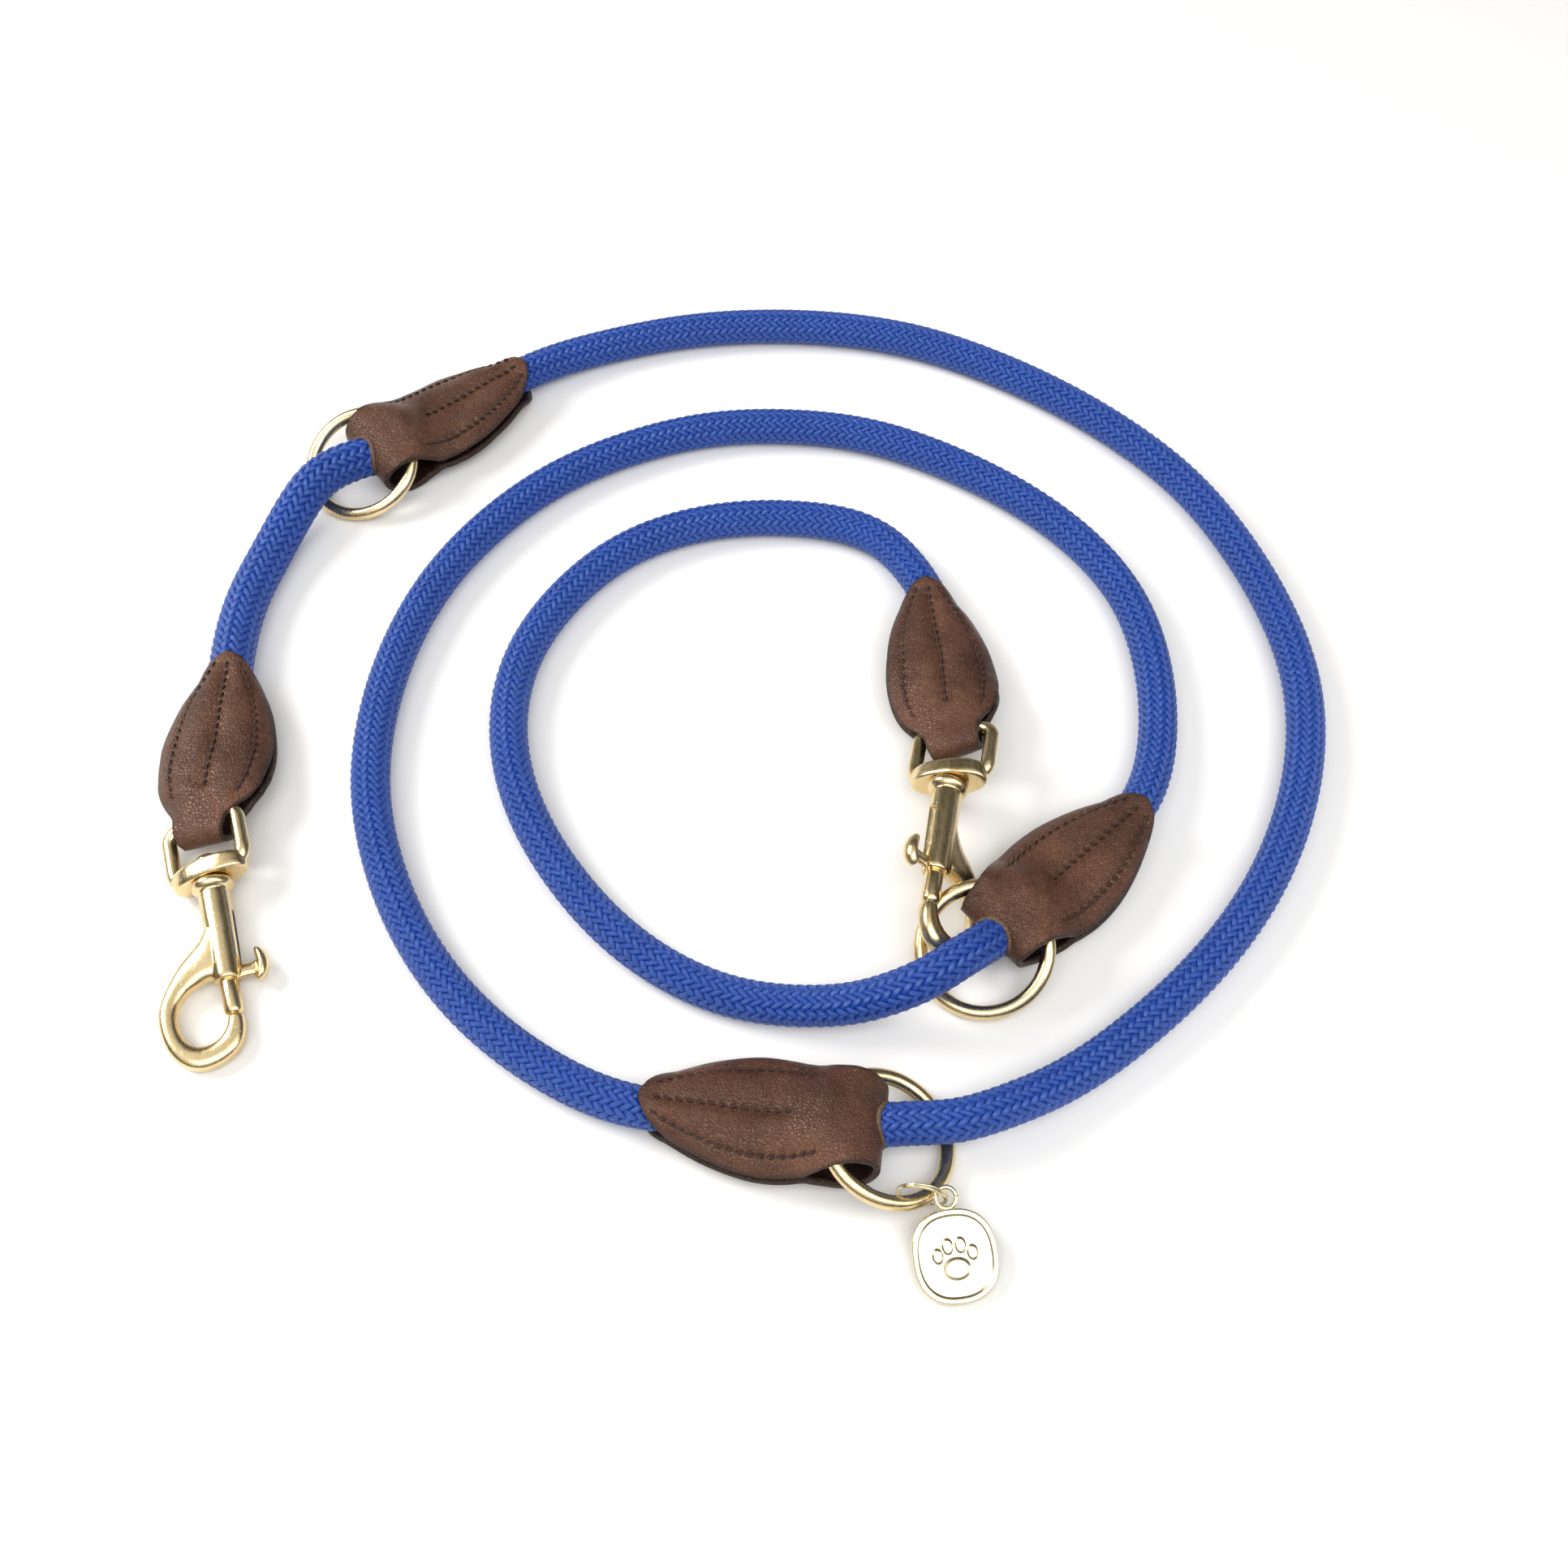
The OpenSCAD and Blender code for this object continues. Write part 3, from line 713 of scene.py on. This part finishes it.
class Leaf:
    """The outside of a folded leaf: upper and lower height over its outline."""

    def __init__(self, name):
        self.place, about_z, kind, self.lift, self.roll = LEAVES[name]
        self.name = name
        self.table = np.array(STATIONS[kind], float)
        self.rotation = turn("Z", about_z - 90)
        self.first, self.centre_first, self.open_height, self.open_end, self.fold_depth = FOLDS[kind]

    def shape(self, y):
        """Half width, middle height, rise above and drop below it, at y."""
        at = np.clip(y, 0, LEAF_END)
        w, mid, rise, drop = spline(self.table[:, 1:], at.ravel(), self.table[:, 0]).T
        shape = at.shape
        mid = mid + self.lift * np.maximum(0, 1 - at.ravel() / 26)
        return w.reshape(shape), mid.reshape(shape), rise.reshape(shape), drop.reshape(shape)

    def half_width(self, y):
        return self.shape(np.asarray(y, float))[0]

    def closing(self, y):
        """From 0 at the fold's end to 1 where the leaf has its full height."""
        u = np.clip((y - FOLD_Y) / self.fold_depth, 0, 1)
        return np.sqrt(np.clip(u * (2 - u), 0, 1))

    def row_share(self, y):
        """Where a side row of stitches lies, as a share of the half width."""
        w = self.half_width(y)
        return np.clip(1 - (1.3 + 0.2 * w) / w, 0.1, 1)

    def grooves(self, x, y, w, top):
        """How far the stitches pull the leather in."""
        fade = np.clip((58.5 - y) / 4, 0, 1)
        pucker = 0.62 + 0.38 * np.cos(2 * math.pi * (y - self.first) / PITCH)
        row = np.exp(-(((np.abs(x) - self.row_share(y) * w) / 0.95) ** 2)) * pucker
        deep = SIDE_GROOVE * row * np.clip((y - self.first + 1.5) / 2, 0, 1) * fade
        centre = np.clip((y - self.centre_first + 1.5) / 3, 0, 1) * fade
        deep = deep + centre * CENTRE_GROOVE * np.exp(-((x / 2.6) ** 2)) * (1 if top else 0.4)
        deep = deep + centre * CENTRE_LINE * np.exp(-((x / 0.9) ** 2)) * pucker
        return deep

    def surface(self, x_share, y, top):
        """Points of the outside in the leaf's frame, before its roll."""
        w, mid, rise, drop = self.shape(y)
        w = w * (1 - 0.1 * (1 - self.closing(y)) ** 2)
        x = x_share * w
        high = rise if top else drop
        shut = np.clip((y - self.open_end) / 17, 0, 1)
        opening = self.open_height * (1 - shut**2 * (3 - 2 * shut))
        hug = ROPE_HUG * np.clip(1 - (w / 10.5) ** 2, 0, 1)
        flange = np.minimum(np.maximum(np.maximum(2.05, hug), opening), high - 0.4)
        power = 2.4 if top else 3.2
        crown = np.clip(1 - np.abs(x_share) ** power, 0, 1) ** 0.85
        z = flange + (high - flange) * crown
        z = (z - self.grooves(x, y, w, top)) * self.closing(y)
        z = z + 0.35 * self.ripple(x, y, top)
        return np.stack([x, y, (mid + z) if top else (mid - z)], -1)

    def ripple(self, x, y, top):
        """Soft unevenness of the hide, larger near the fold."""
        s = LEATHER_SEED[self.name] + (0 if top else 2.0)
        slow = np.sin(x * 0.52 + 1.7 * s) * np.sin(y * 0.33 + s) * 0.5
        wrinkle = np.sin(x * 0.35 + y * 1.05 + s * 3 + 1.5 * np.sin(x * 0.4)) * 0.35
        near_fold = np.exp(-(((y - 17) / 6) ** 2))
        return (slow + wrinkle * near_fold) * self.closing(y)

    def rolled(self, p):
        """Points of the leaf, turned near the fold as its ring or hook turns it."""
        a = math.radians(1.0) * self.roll * np.clip(1 - p[..., 1] / 30, 0, None)
        mid = self.shape(p[..., 1])[1]
        x, z = p[..., 0], p[..., 2] - mid
        return np.stack([
            x * np.cos(a) + z * np.sin(a), p[..., 1], mid + z * np.cos(a) - x * np.sin(a)
        ], -1)


LEATHER_SEED = {"a": 0.4, "b": 1.9, "c": 3.1, "d": 4.6, "e": 5.7}
EDGE_ROUND = 0.35  # how far the middle of the cut edge stands out
ACROSS = 61  # points of a hide's grid
LENGTHWAYS = 120


def rim_strips(edge, rim, size, flip):
    """Quads from an edge of the outside over its rim to the same edge of the inside."""
    here, following = edge[:-1], edge[1:]
    r = rim + np.arange(len(here))
    pair = [
        np.stack([here, r, r + 1, following], -1),
        np.stack([r, here + size, following + size, r + 1], -1),
    ]
    return [q[:, ::-1] if flip else q for q in pair]


def leaf_faces(rows):
    """Faces of a hide: the grids of its outside and inside, and the cut edge that joins them."""
    size = rows * ACROSS
    i, j = np.meshgrid(np.arange(rows - 1), np.arange(ACROSS - 1), indexing="ij")
    a = i * ACROSS + j
    out = np.stack([a, a + ACROSS, a + ACROSS + 1, a + 1], -1).reshape(-1, 4)
    left_at, right_at = 2 * size, 2 * size + rows
    first_at, last_at = right_at + rows, right_at + rows + ACROSS
    down, over = np.arange(rows) * ACROSS, np.arange(ACROSS)
    end, last = ACROSS - 1, (rows - 1) * ACROSS
    quads = [out, out[:, ::-1] + size]
    quads += rim_strips(down, left_at, size, False)
    quads += rim_strips(down + end, right_at, size, True)
    quads += rim_strips(over, first_at, size, True)
    quads += rim_strips(over + last, last_at, size, False)
    corners = (
        (0, left_at, first_at), (end, right_at, first_at + end),
        (last, left_at + rows - 1, last_at), (last + end, right_at + rows - 1, last_at + end),
    )
    tris = []
    for corner, side_rim, end_rim in corners:
        tris += [(corner, side_rim, end_rim), (corner + size, end_rim, side_rim)]
    return np.concatenate(quads), tris


def burnish(piece, inset):
    """Attribute 'edge': 0 in the middle of the outside and near 1 at its outline, inside and rims."""
    outside = (np.clip(1 - inset, 0, 1) * 0.95).ravel()
    rims = len(piece.data.vertices) - 2 * inset.size
    edge = np.concatenate([outside, np.full(inset.size, 0.85), np.full(rims, 0.9)])
    attribute = piece.data.attributes.new("edge", "FLOAT", "POINT")
    attribute.data.foreach_set("value", edge.astype(np.float32))
    piece.data.update()


def leather_leaf(name):
    """One hide folded on itself: top from point to fold, round it, and back underneath."""
    leaf = Leaf(name)
    s = np.linspace(0, 1, LENGTHWAYS)
    y = FOLD_Y + (LEAF_END - FOLD_Y) * (0.35 * s**2 + 0.65 * s**1.15)
    share = np.sin(np.linspace(-math.pi / 2, math.pi / 2, ACROSS))
    share = 0.5 * share + 0.5 * np.linspace(-1, 1, ACROSS)
    grid_y, grid_x = np.meshgrid(y, share, indexing="ij")
    top = leaf.surface(grid_x, grid_y, True)
    low = leaf.surface(grid_x, grid_y, False)
    outer = leaf.rolled(np.concatenate([top[::-1], low[1:]]))
    along = np.gradient(outer, axis=0)
    over = np.gradient(outer, axis=1)
    normal = unit(np.cross(over, along))
    if normal[LENGTHWAYS // 2, ACROSS // 2, 2] < 0:
        normal = -normal
    inner = outer - HIDE_T * normal
    middle = (outer + inner) / 2
    verts = np.concatenate([
        outer.reshape(-1, 3), inner.reshape(-1, 3),
        middle[:, 0] - EDGE_ROUND * unit(over[:, 0]),
        middle[:, -1] + EDGE_ROUND * unit(over[:, -1]),
        middle[0] - EDGE_ROUND * unit(along[0]),
        middle[-1] + EDGE_ROUND * unit(along[-1]),
    ])
    quads, tris = leaf_faces(len(outer))
    piece = make_mesh(
        f"leaf_{name}_hide", on_floor(placed(verts, leaf.place, leaf.rotation)), quads, tris
    )
    width = leaf.half_width(np.abs(outer[..., 1]))
    burnish(piece, width * (1 - np.abs(np.concatenate([grid_x[::-1], grid_x[1:]]))))
    finish_piece(piece, "lead", "leather", LEATHER, f"leaf_{name}")
    return leaf


def stitch(parts, start, end, normal):
    """One stitch of thread: a short round bar that dips into the leather at both ends."""
    s = np.linspace(0, 1, 7)
    arch = 0.75 * np.sin(math.pi * s) - 0.45
    path = start + (end - start) * s[:, None] + arch[:, None] * normal
    radius = THREAD_D / 2 * (0.72 + 0.28 * np.sin(math.pi * s))
    t = unit(np.gradient(path, axis=0))
    across = unit(np.cross(t, normal))
    lift = np.cross(across, t)
    a = np.linspace(0, 2 * math.pi, 8, endpoint=False)
    rings = path[:, None] + radius[:, None, None] * (
        np.cos(a)[None, :, None] * across[:, None] + 0.8 * np.sin(a)[None, :, None] * lift[:, None]
    )
    u, v = np.meshgrid(s * 3, a / math.pi, indexing="ij")
    parts.tube(rings, np.stack([u, v], -1).reshape(-1, 2))


SLANT = 0.38  # how far a stitch's ends lie to each side of its row
HOLE_GAP = 0.2  # from a stitch's end to the hole between two stitches
NORMAL_STEP = 0.3


def outward(leaf, share, y, share_step, top):
    """The direction straight out of the leather at one point."""
    shares = np.array([share, share + share_step, share])
    steps = np.full(3, y) + np.array([0, 0, NORMAL_STEP])
    p = leaf.rolled(leaf.surface(shares, steps, top))
    normal = unit(np.cross(p[1] - p[0], p[2] - p[0]))
    return normal if top else -normal


def stitch_row(parts, leaf, row, first, top):
    """One row of stitches: row is -1 or 1 beside an edge, and 0 down the middle."""
    y = np.linspace(first, LAST_STITCH, 400)
    along = distances(leaf.rolled(leaf.surface(row * leaf.row_share(y), y, top)))
    count = int(along[-1] / PITCH)
    holes = np.arange(count + 1) * along[-1] / count
    slant = SLANT if row >= 0 else -SLANT
    for start, end in zip(holes[:-1], holes[1:]):
        ends_y = np.interp((start + HOLE_GAP, end - HOLE_GAP), along, y)
        w = leaf.half_width(ends_y)
        x = row * leaf.row_share(ends_y) + np.array([-slant, slant]) / w
        middle_y = (ends_y[0] + ends_y[1]) / 2
        share = row * float(leaf.row_share(np.array([middle_y]))[0])
        a, b = leaf.rolled(leaf.surface(x, ends_y, top))
        stitch(parts, a, b, outward(leaf, share, middle_y, NORMAL_STEP / w[0], top))


def stitches(leaf):
    """Three rows above and below: inside each edge, and down the middle."""
    parts = Parts()
    for top in (True, False):
        for row, first in ((-1, leaf.first), (1, leaf.first), (0, leaf.centre_first)):
            stitch_row(parts, leaf, row, first, top)
    piece = parts.build(f"seams_{leaf.name}_stitches")
    local = np.concatenate(parts.verts)
    moved(piece, on_floor(placed(local, leaf.place, leaf.rotation)))
    finish_piece(piece, "lead", "thread", THREAD, f"seams_{leaf.name}")


COLLAR_R = 0.75


def rope_collar(name, number, at_end):
    """The cut edge of the hide round the rope where it leaves a ring leaf's fold."""
    leaf = Leaf(name)
    path = smooth_path(ROUTES[number], 0.25)[0] + SHIFT
    if at_end:
        path = path[::-1]
    fold = np.array([*leaf.place, 0.0]) + SHIFT
    side, up = path_frames(path)[1:]
    loop = []
    for a in np.linspace(0, 2 * math.pi, 61):
        skin = path + (ROPE_D[number] / 2) * (math.cos(a) * side + math.sin(a) * up)
        local = (skin - fold) @ leaf.rotation
        y = local[:, 1]
        mid, rise, drop = leaf.shape(y)[1:]
        above = local[:, 2] - mid
        limit = np.where(above > 0, rise, drop) * leaf.closing(y)
        inside = (y > FOLD_Y) & (y < 12) & (np.abs(above) < limit) & (np.abs(local[:, 0]) < 13)
        runs = np.flatnonzero(inside)
        loop.append(skin[runs[-1] if len(runs) else np.argmin(np.abs(y - 3))])
    loop = np.array(loop)
    for _ in range(3):
        core = loop[:-1]
        core = (np.roll(core, 1, 0) + 2 * core + np.roll(core, -1, 0)) / 4
        loop = np.concatenate([core, core[:1]])
    parts = Parts()
    parts.tube(round_tube(loop, COLLAR_R, 10))
    piece = parts.build(f"rope_hole_{name}")
    piece.data.transform(Matrix.Scale(MM, 4))
    finish_piece(piece, "lead", "leather", CUT_EDGE)


# Rings, split ring and tag --------------------------------------------------


def ring(name):
    place, about_z, sideways = RINGS[name]
    rotation = turn("Z", about_z) @ turn("Y", -RING_TILT) @ turn("X", sideways)
    steps, sides = 160, 32
    a = np.linspace(0, 2 * math.pi, steps, endpoint=False)
    b = np.linspace(0, 2 * math.pi, sides, endpoint=False)
    u, v = np.meshgrid(a, b, indexing="ij")
    r = RING_R + RING_WIRE / 2 * np.cos(v)
    p = np.stack([r * np.cos(u), r * np.sin(u), RING_WIRE / 2 * np.sin(v)], -1)
    i, j = np.meshgrid(np.arange(steps), np.arange(sides), indexing="ij")
    quads = np.stack([
        i * sides + j, (i + 1) % steps * sides + j,
        (i + 1) % steps * sides + (j + 1) % sides, i * sides + (j + 1) % sides,
    ], -1)
    piece = make_mesh(f"ring_{name}_wire", placed(p.reshape(-1, 3), place, rotation), quads)
    finish_piece(piece, f"ring_{name}", "brass", BRASS, f"ring_{name}")


SPLIT_R = 5.95  # to the middle of the flat wire


def split_ring():
    """A flat wire wound nearly twice round, its two ends open."""
    place, about_z, lean = SPLIT
    rotation = turn("Z", about_z) @ turn("X", lean)
    a = np.linspace(0, 2 * math.pi * 1.86, 240)
    rise = 0.37 * np.clip((a - 0.75 * math.pi) / (0.35 * math.pi), -1, 1)
    path = np.stack([SPLIT_R * np.cos(a), SPLIT_R * np.sin(a), rise], -1)
    out = unit(path * (1, 1, 0))
    b = np.linspace(0, 2 * math.pi, 12, endpoint=False)
    ring_points = path[:, None] + 0.52 * np.cos(b)[None, :, None] * out[:, None]
    ring_points = ring_points + 0.34 * np.sin(b)[None, :, None] * UP
    parts = Parts()
    parts.tube(ring_points)
    piece = parts.build_at("split_ring_wire", place, rotation)
    finish_piece(piece, "split_ring", "pale_gold", PALE_GOLD, "split_ring")


def paw(x, y):
    """Height of a small paw mark: one wide pad and four toes."""
    pads = [(0, -17.0, 3.2, 2.5), (-4.3, -13.6, 1.25, 1.7), (-1.6, -11.6, 1.25, 1.8),
            (1.6, -11.6, 1.25, 1.8), (4.3, -13.6, 1.25, 1.7)]
    height = np.zeros_like(x)
    for px, py, rx, ry in pads:
        d = np.sqrt(((x - px) / rx) ** 2 + ((y - py) / ry) ** 2)
        height = np.maximum(height, 0.4 * np.clip((1.12 - d) / 0.3, 0, 1))
    return height


def tag():
    """A rounded plate with a raised rim and paw, and its loop."""
    place, about_z, lean = TAG
    rotation = turn("Z", about_z) @ turn("X", lean)
    sides, steps = 128, 44
    a = np.linspace(0, 2 * math.pi, sides, endpoint=False)
    c, d = squared(np.cos(a), 0.82), squared(np.sin(a), 0.82)
    share = np.concatenate([[0.02], np.linspace(0.06, 0.97, steps), [0.99, 1.0]])
    edge = np.concatenate([np.zeros(steps + 1), [0.18, 0.5]])
    x = 10.5 * share[:, None] * c
    y = -14.1 + 11.3 * share[:, None] * d
    rim = 0.4 * np.clip((share - 0.84) / 0.04, 0, 1)[:, None]
    z = 1.8 + rim - edge[:, None] + paw(x, y)
    top = np.stack([x, y, z], -1)
    low = np.stack([x, y, np.broadcast_to(edge[:, None], x.shape)], -1)
    parts = Parts()
    parts.tube(np.concatenate([low, top[::-1]]))
    loop = np.linspace(0, 2 * math.pi, 73)
    parts.tube(round_tube(
        np.stack([2.55 * np.cos(loop), 2.55 * np.sin(loop), 0 * loop + 0.9], -1), 0.6, 16
    ))
    piece = parts.build_at("tag_plate", place, rotation)
    finish_piece(piece, "tag", "pale_gold", PALE_GOLD, "tag")


# Snap hooks -----------------------------------------------------------------


def hook_frame(n, roll):
    place, about_z, lean = HOOKS[n][:3]
    rotation = turn("Z", about_z) @ turn("X", lean) @ turn("Y", roll)
    return place, rotation


# Bow and web of the hook: outer edge, then inner edge, as distance out and along.
BOW = [
    (-2.4, 0, 1.8, 0), (-2.4, 3, 2.2, 1.7), (-0.9, 7.7, 3.7, 4), (3.4, 11.3, 6.1, 5.6),
    (9.8, 12.4, 9.3, 5.9), (14.9, 9.9, 12, 4.5), (17.9, 5.4, 13.7, 1.9),
    (19.1, 0.6, 14.4, -1.5), (19.3, -4.2, 14.2, -4.7), (18.5, -7.7, 13.2, -7.2),
    (16.8, -11.4, 11, -9.6), (14.8, -14.5, 8.4, -10.9), (12.5, -17.5, 5, -12),
    (9.9, -20.1, 1.5, -12.4), (7.1, -22.4, 0, -15.5), (5.3, -24.2, 0, -20),
    (3.8, -26.5, 0, -25),
]
REMESH = 0.00021  # voxels of the castings, in metres
FINE_REMESH = 0.00016


def bow_rings():
    """The bow, thicker towards the barrel, as sections of a rounded flat bar."""
    table = np.array(BOW, float)
    knots = np.arange(len(table), dtype=float)
    at = np.linspace(0, knots[-1], 150)
    fine = spline(table, at, knots)
    outer, inner = fine[:, :2], fine[:, 2:]
    middle, half = (outer + inner) / 2, (outer - inner) / 2
    a = np.linspace(0, 2 * math.pi, 40, endpoint=False)
    c, h = squared(np.cos(a), 0.8), squared(np.sin(a), 0.75)
    thick = 2.6 + 0.9 * np.clip((at - 11) / 4, 0, 1)
    flat = middle[:, None] + half[:, None] * c[None, :, None]
    height = thick[:, None] * h[None]
    return np.stack([flat[..., 0], -(NOSE + flat[..., 1]), height], -1)


def fused(parts, name, place, rotation, smooth, size=REMESH):
    """One closed casting out of overlapping closed shapes, with soft inner corners."""
    piece = parts.build_at(name, place, rotation)
    modified(piece, "REMESH", mode="VOXEL", voxel_size=size)
    modified(piece, "SMOOTH", factor=0.5, iterations=smooth)
    return piece


def cut(piece, parts, place, rotation):
    """Takes closed shapes out of a piece."""
    tool = parts.build_at("cutter", place, rotation)
    modified(piece, "BOOLEAN", operation="DIFFERENCE", object=tool, solver="EXACT")
    bpy.data.objects.remove(tool)


def box_parts(parts, low, high):
    x0, y0, z0 = low
    x1, y1, z1 = high
    parts.tube(np.array([
        [(x0, y0, z0), (x1, y0, z0), (x1, y1, z0), (x0, y1, z0)],
        [(x0, y0, z1), (x1, y0, z1), (x1, y1, z1), (x0, y1, z1)],
    ]))


def hook_body(n):
    place, rotation = hook_frame(n, HOOKS[n][3])
    parts = Parts()
    parts.tube(bow_rings())
    parts.tube(lathe([
        (5.0, 3.0), (5.4, 4.15), (7, 4.3), (14, 4.3), (24, 4.1), (31.6, 3.85), (32.4, 3.7),
        (BARREL_END, 3.4),
    ]))
    parts.tube(lathe([
        (2.75, 4.4), (3.0, 5.2), (3.5, 5.6), (4.2, 5.75), (4.9, 5.6), (5.6, 5.1), (6.2, 4.3),
        (6.5, 3.0),
    ]))
    piece = fused(parts, f"hook_{n}_casting", place, rotation, 14)
    holes = Parts()
    holes.tube(lathe([(9.0, BORE_R), (BARREL_END + 1, BORE_R)], 40)[::-1])
    cut(piece, holes, place, rotation)
    slot = Parts()
    box_parts(slot, (-8.6, -BARREL_END - 1, -1.3), (0, -12.3, 1.3))
    cut(piece, slot, place, rotation)
    finish_piece(piece, f"hook_{n}", "brass", BRASS, f"hook_{n}")


def stud(n):
    place, rotation = hook_frame(n, HOOKS[n][3])
    parts = Parts()
    profile = [(-5.6, 0.05), (-5.55, 0.9), (-5.3, 1.9), (-4.8, 2.8), (-4.2, 3.5), (-3.5, 3.95),
               (-3.0, 4.1), (-2.8, 3.9), (-2.78, 2.4), (7, 2.38)]
    parts.tube(lathe(profile, 40))
    piece = parts.build_at(f"stud_{n}_dome", place, rotation)
    finish_piece(piece, f"hook_{n}", "brass", BRASS, f"stud_{n}")


def eye_path():
    """Middle of the eye's bent wire: from the boss along one arm, over the bar and back."""
    corner, foot = 3.5, 4.0
    quarter = np.linspace(0, math.pi / 2, 14)
    right = [(x, 0.0) for x in np.linspace(5.0, ARM_X - foot, 6)]
    right += [(ARM_X - foot + foot * math.sin(q), foot - foot * math.cos(q)) for q in quarter[1:]]
    right += [(ARM_X, y) for y in np.linspace(foot, EYE_BAR - corner, 10)[1:]]
    right += [
        (ARM_X - corner + corner * math.cos(q), EYE_BAR - corner + corner * math.sin(q))
        for q in quarter[1:]
    ]
    right += [(x, EYE_BAR) for x in np.linspace(ARM_X - corner, 0, 8)[1:]]
    left = [(-x, y) for x, y in right[::-1][1:]]
    return np.array([(x, y, 0.0) for x, y in right + left])


def eye(n):
    place, rotation = hook_frame(n, HOOKS[n][4])
    path = eye_path()
    t = unit(np.gradient(path, axis=0))
    side = np.cross(t, UP)
    a = np.linspace(0, 2 * math.pi, 28, endpoint=False)
    r = EYE_WIRE / 2
    rings = path[:, None] + r * (
        np.cos(a)[None, :, None] * side[:, None] + np.sin(a)[None, :, None] * UP
    )
    parts = Parts()
    parts.tube(rings)
    # The boss: a thick oval plate on which the stud's dome sits.
    b = np.linspace(0, 2 * math.pi, 72, endpoint=False)
    x = 11.2 * squared(np.cos(b), 0.95)
    z = 5.7 * squared(np.sin(b), 0.92)
    band = [np.stack([x * k, np.full(72, y), z * k], -1) for y, k in (
        (2.6, 0.9), (2.45, 0.95), (2.0, 0.985), (1.2, 1.0), (-1.2, 1.0), (-2.0, 0.985),
        (-2.45, 0.95), (-2.6, 0.9),
    )]
    parts.tube(np.array(band))
    piece = fused(parts, f"eye_{n}_casting", place, rotation, 9)
    holes = Parts()
    holes.tube(lathe([(-4.0, 2.46), (4.0, 2.46)], 40)[::-1])
    cut(piece, holes, place, rotation)
    finish_piece(piece, f"eye_{n}", "brass", BRASS, f"eye_{n}")


def bolt(n):
    place, rotation = hook_frame(n, HOOKS[n][3])
    parts = Parts()
    parts.tube(lathe([
        (24, 0.2), (24, BOLT_R - 0.4), (24.4, BOLT_R), (NOSE - 2.2, BOLT_R),
        (NOSE - 1.6, BOLT_R - 0.12), (NOSE - 1.1, BOLT_R - 0.4), (NOSE - 0.6, BOLT_R - 0.9),
        (NOSE - 0.35, BOLT_R - 1.5), (NOSE - 0.25, 0.2),
    ], 40))
    piece = parts.build_at(f"bolt_{n}_pin", place, rotation)
    finish_piece(piece, f"bolt_{n}", "brass", BRASS, f"bolt_{n}")


def thumb(n):
    """A curved rest on a blade that comes through the barrel's slot."""
    place, rotation = hook_frame(n, HOOKS[n][3])
    table = np.array([
        (-7.9, -25.4, 0.5, 0.9), (-8.6, -26.2, 1.1, 1.7), (-9.2, -27.8, 1.45, 2.2),
        (-9.45, -29.8, 1.6, 2.4), (-9.15, -31.8, 1.6, 2.3), (-8.3, -33.4, 1.4, 1.9),
        (-7.3, -34.3, 0.8, 1.2),
    ])
    knots = np.arange(len(table), dtype=float)
    fine = spline(table, np.linspace(0, knots[-1], 50), knots)
    path = np.stack([fine[:, 0], fine[:, 1], np.zeros(len(fine))], -1)
    t = unit(np.gradient(path, axis=0))
    side = np.cross(t, UP)
    a = np.linspace(0, 2 * math.pi, 24, endpoint=False)
    parts = Parts()
    parts.tube(
        path[:, None] + fine[:, 2, None, None] * np.cos(a)[None, :, None] * side[:, None]
        + fine[:, 3, None, None] * np.sin(a)[None, :, None] * UP
    )
    # The blade, waisted between the bolt and the rest.
    blade = [(-2.0, -31.0, 2.1), (-4.5, -31.0, 1.9), (-6.5, -31.1, 1.9), (-8.2, -31.0, 2.5),
             (-9.2, -30.6, 2.6)]
    parts.tube(np.array([
        np.stack([np.full(24, x), y + h * np.cos(a), 1.05 * np.sin(a)], -1) for x, y, h in blade
    ]))
    piece = fused(parts, f"thumb_{n}_rest", place, rotation, 2, FINE_REMESH)
    finish_piece(piece, f"bolt_{n}", "brass", BRASS, f"thumb_{n}")


def spring(n):
    """The CAD's own spring, in steel."""
    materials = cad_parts[f"spring_{n}"].data.materials
    materials.clear()
    materials.append(STEEL)


# Making ---------------------------------------------------------------------

camera()
for number in ROUTES:
    braided_rope(number)
studio()
for name in LEAVES:
    stitches(leather_leaf(name))
for name, number, at_end in (("b", 1, True), ("c", 2, True), ("d", 4, False)):
    rope_collar(name, number, at_end)
for name in RINGS:
    ring(name)
split_ring()
tag()
for n in HOOKS:
    eye(n)
    hook_body(n)
    stud(n)
    bolt(n)
    thumb(n)
    spring(n)
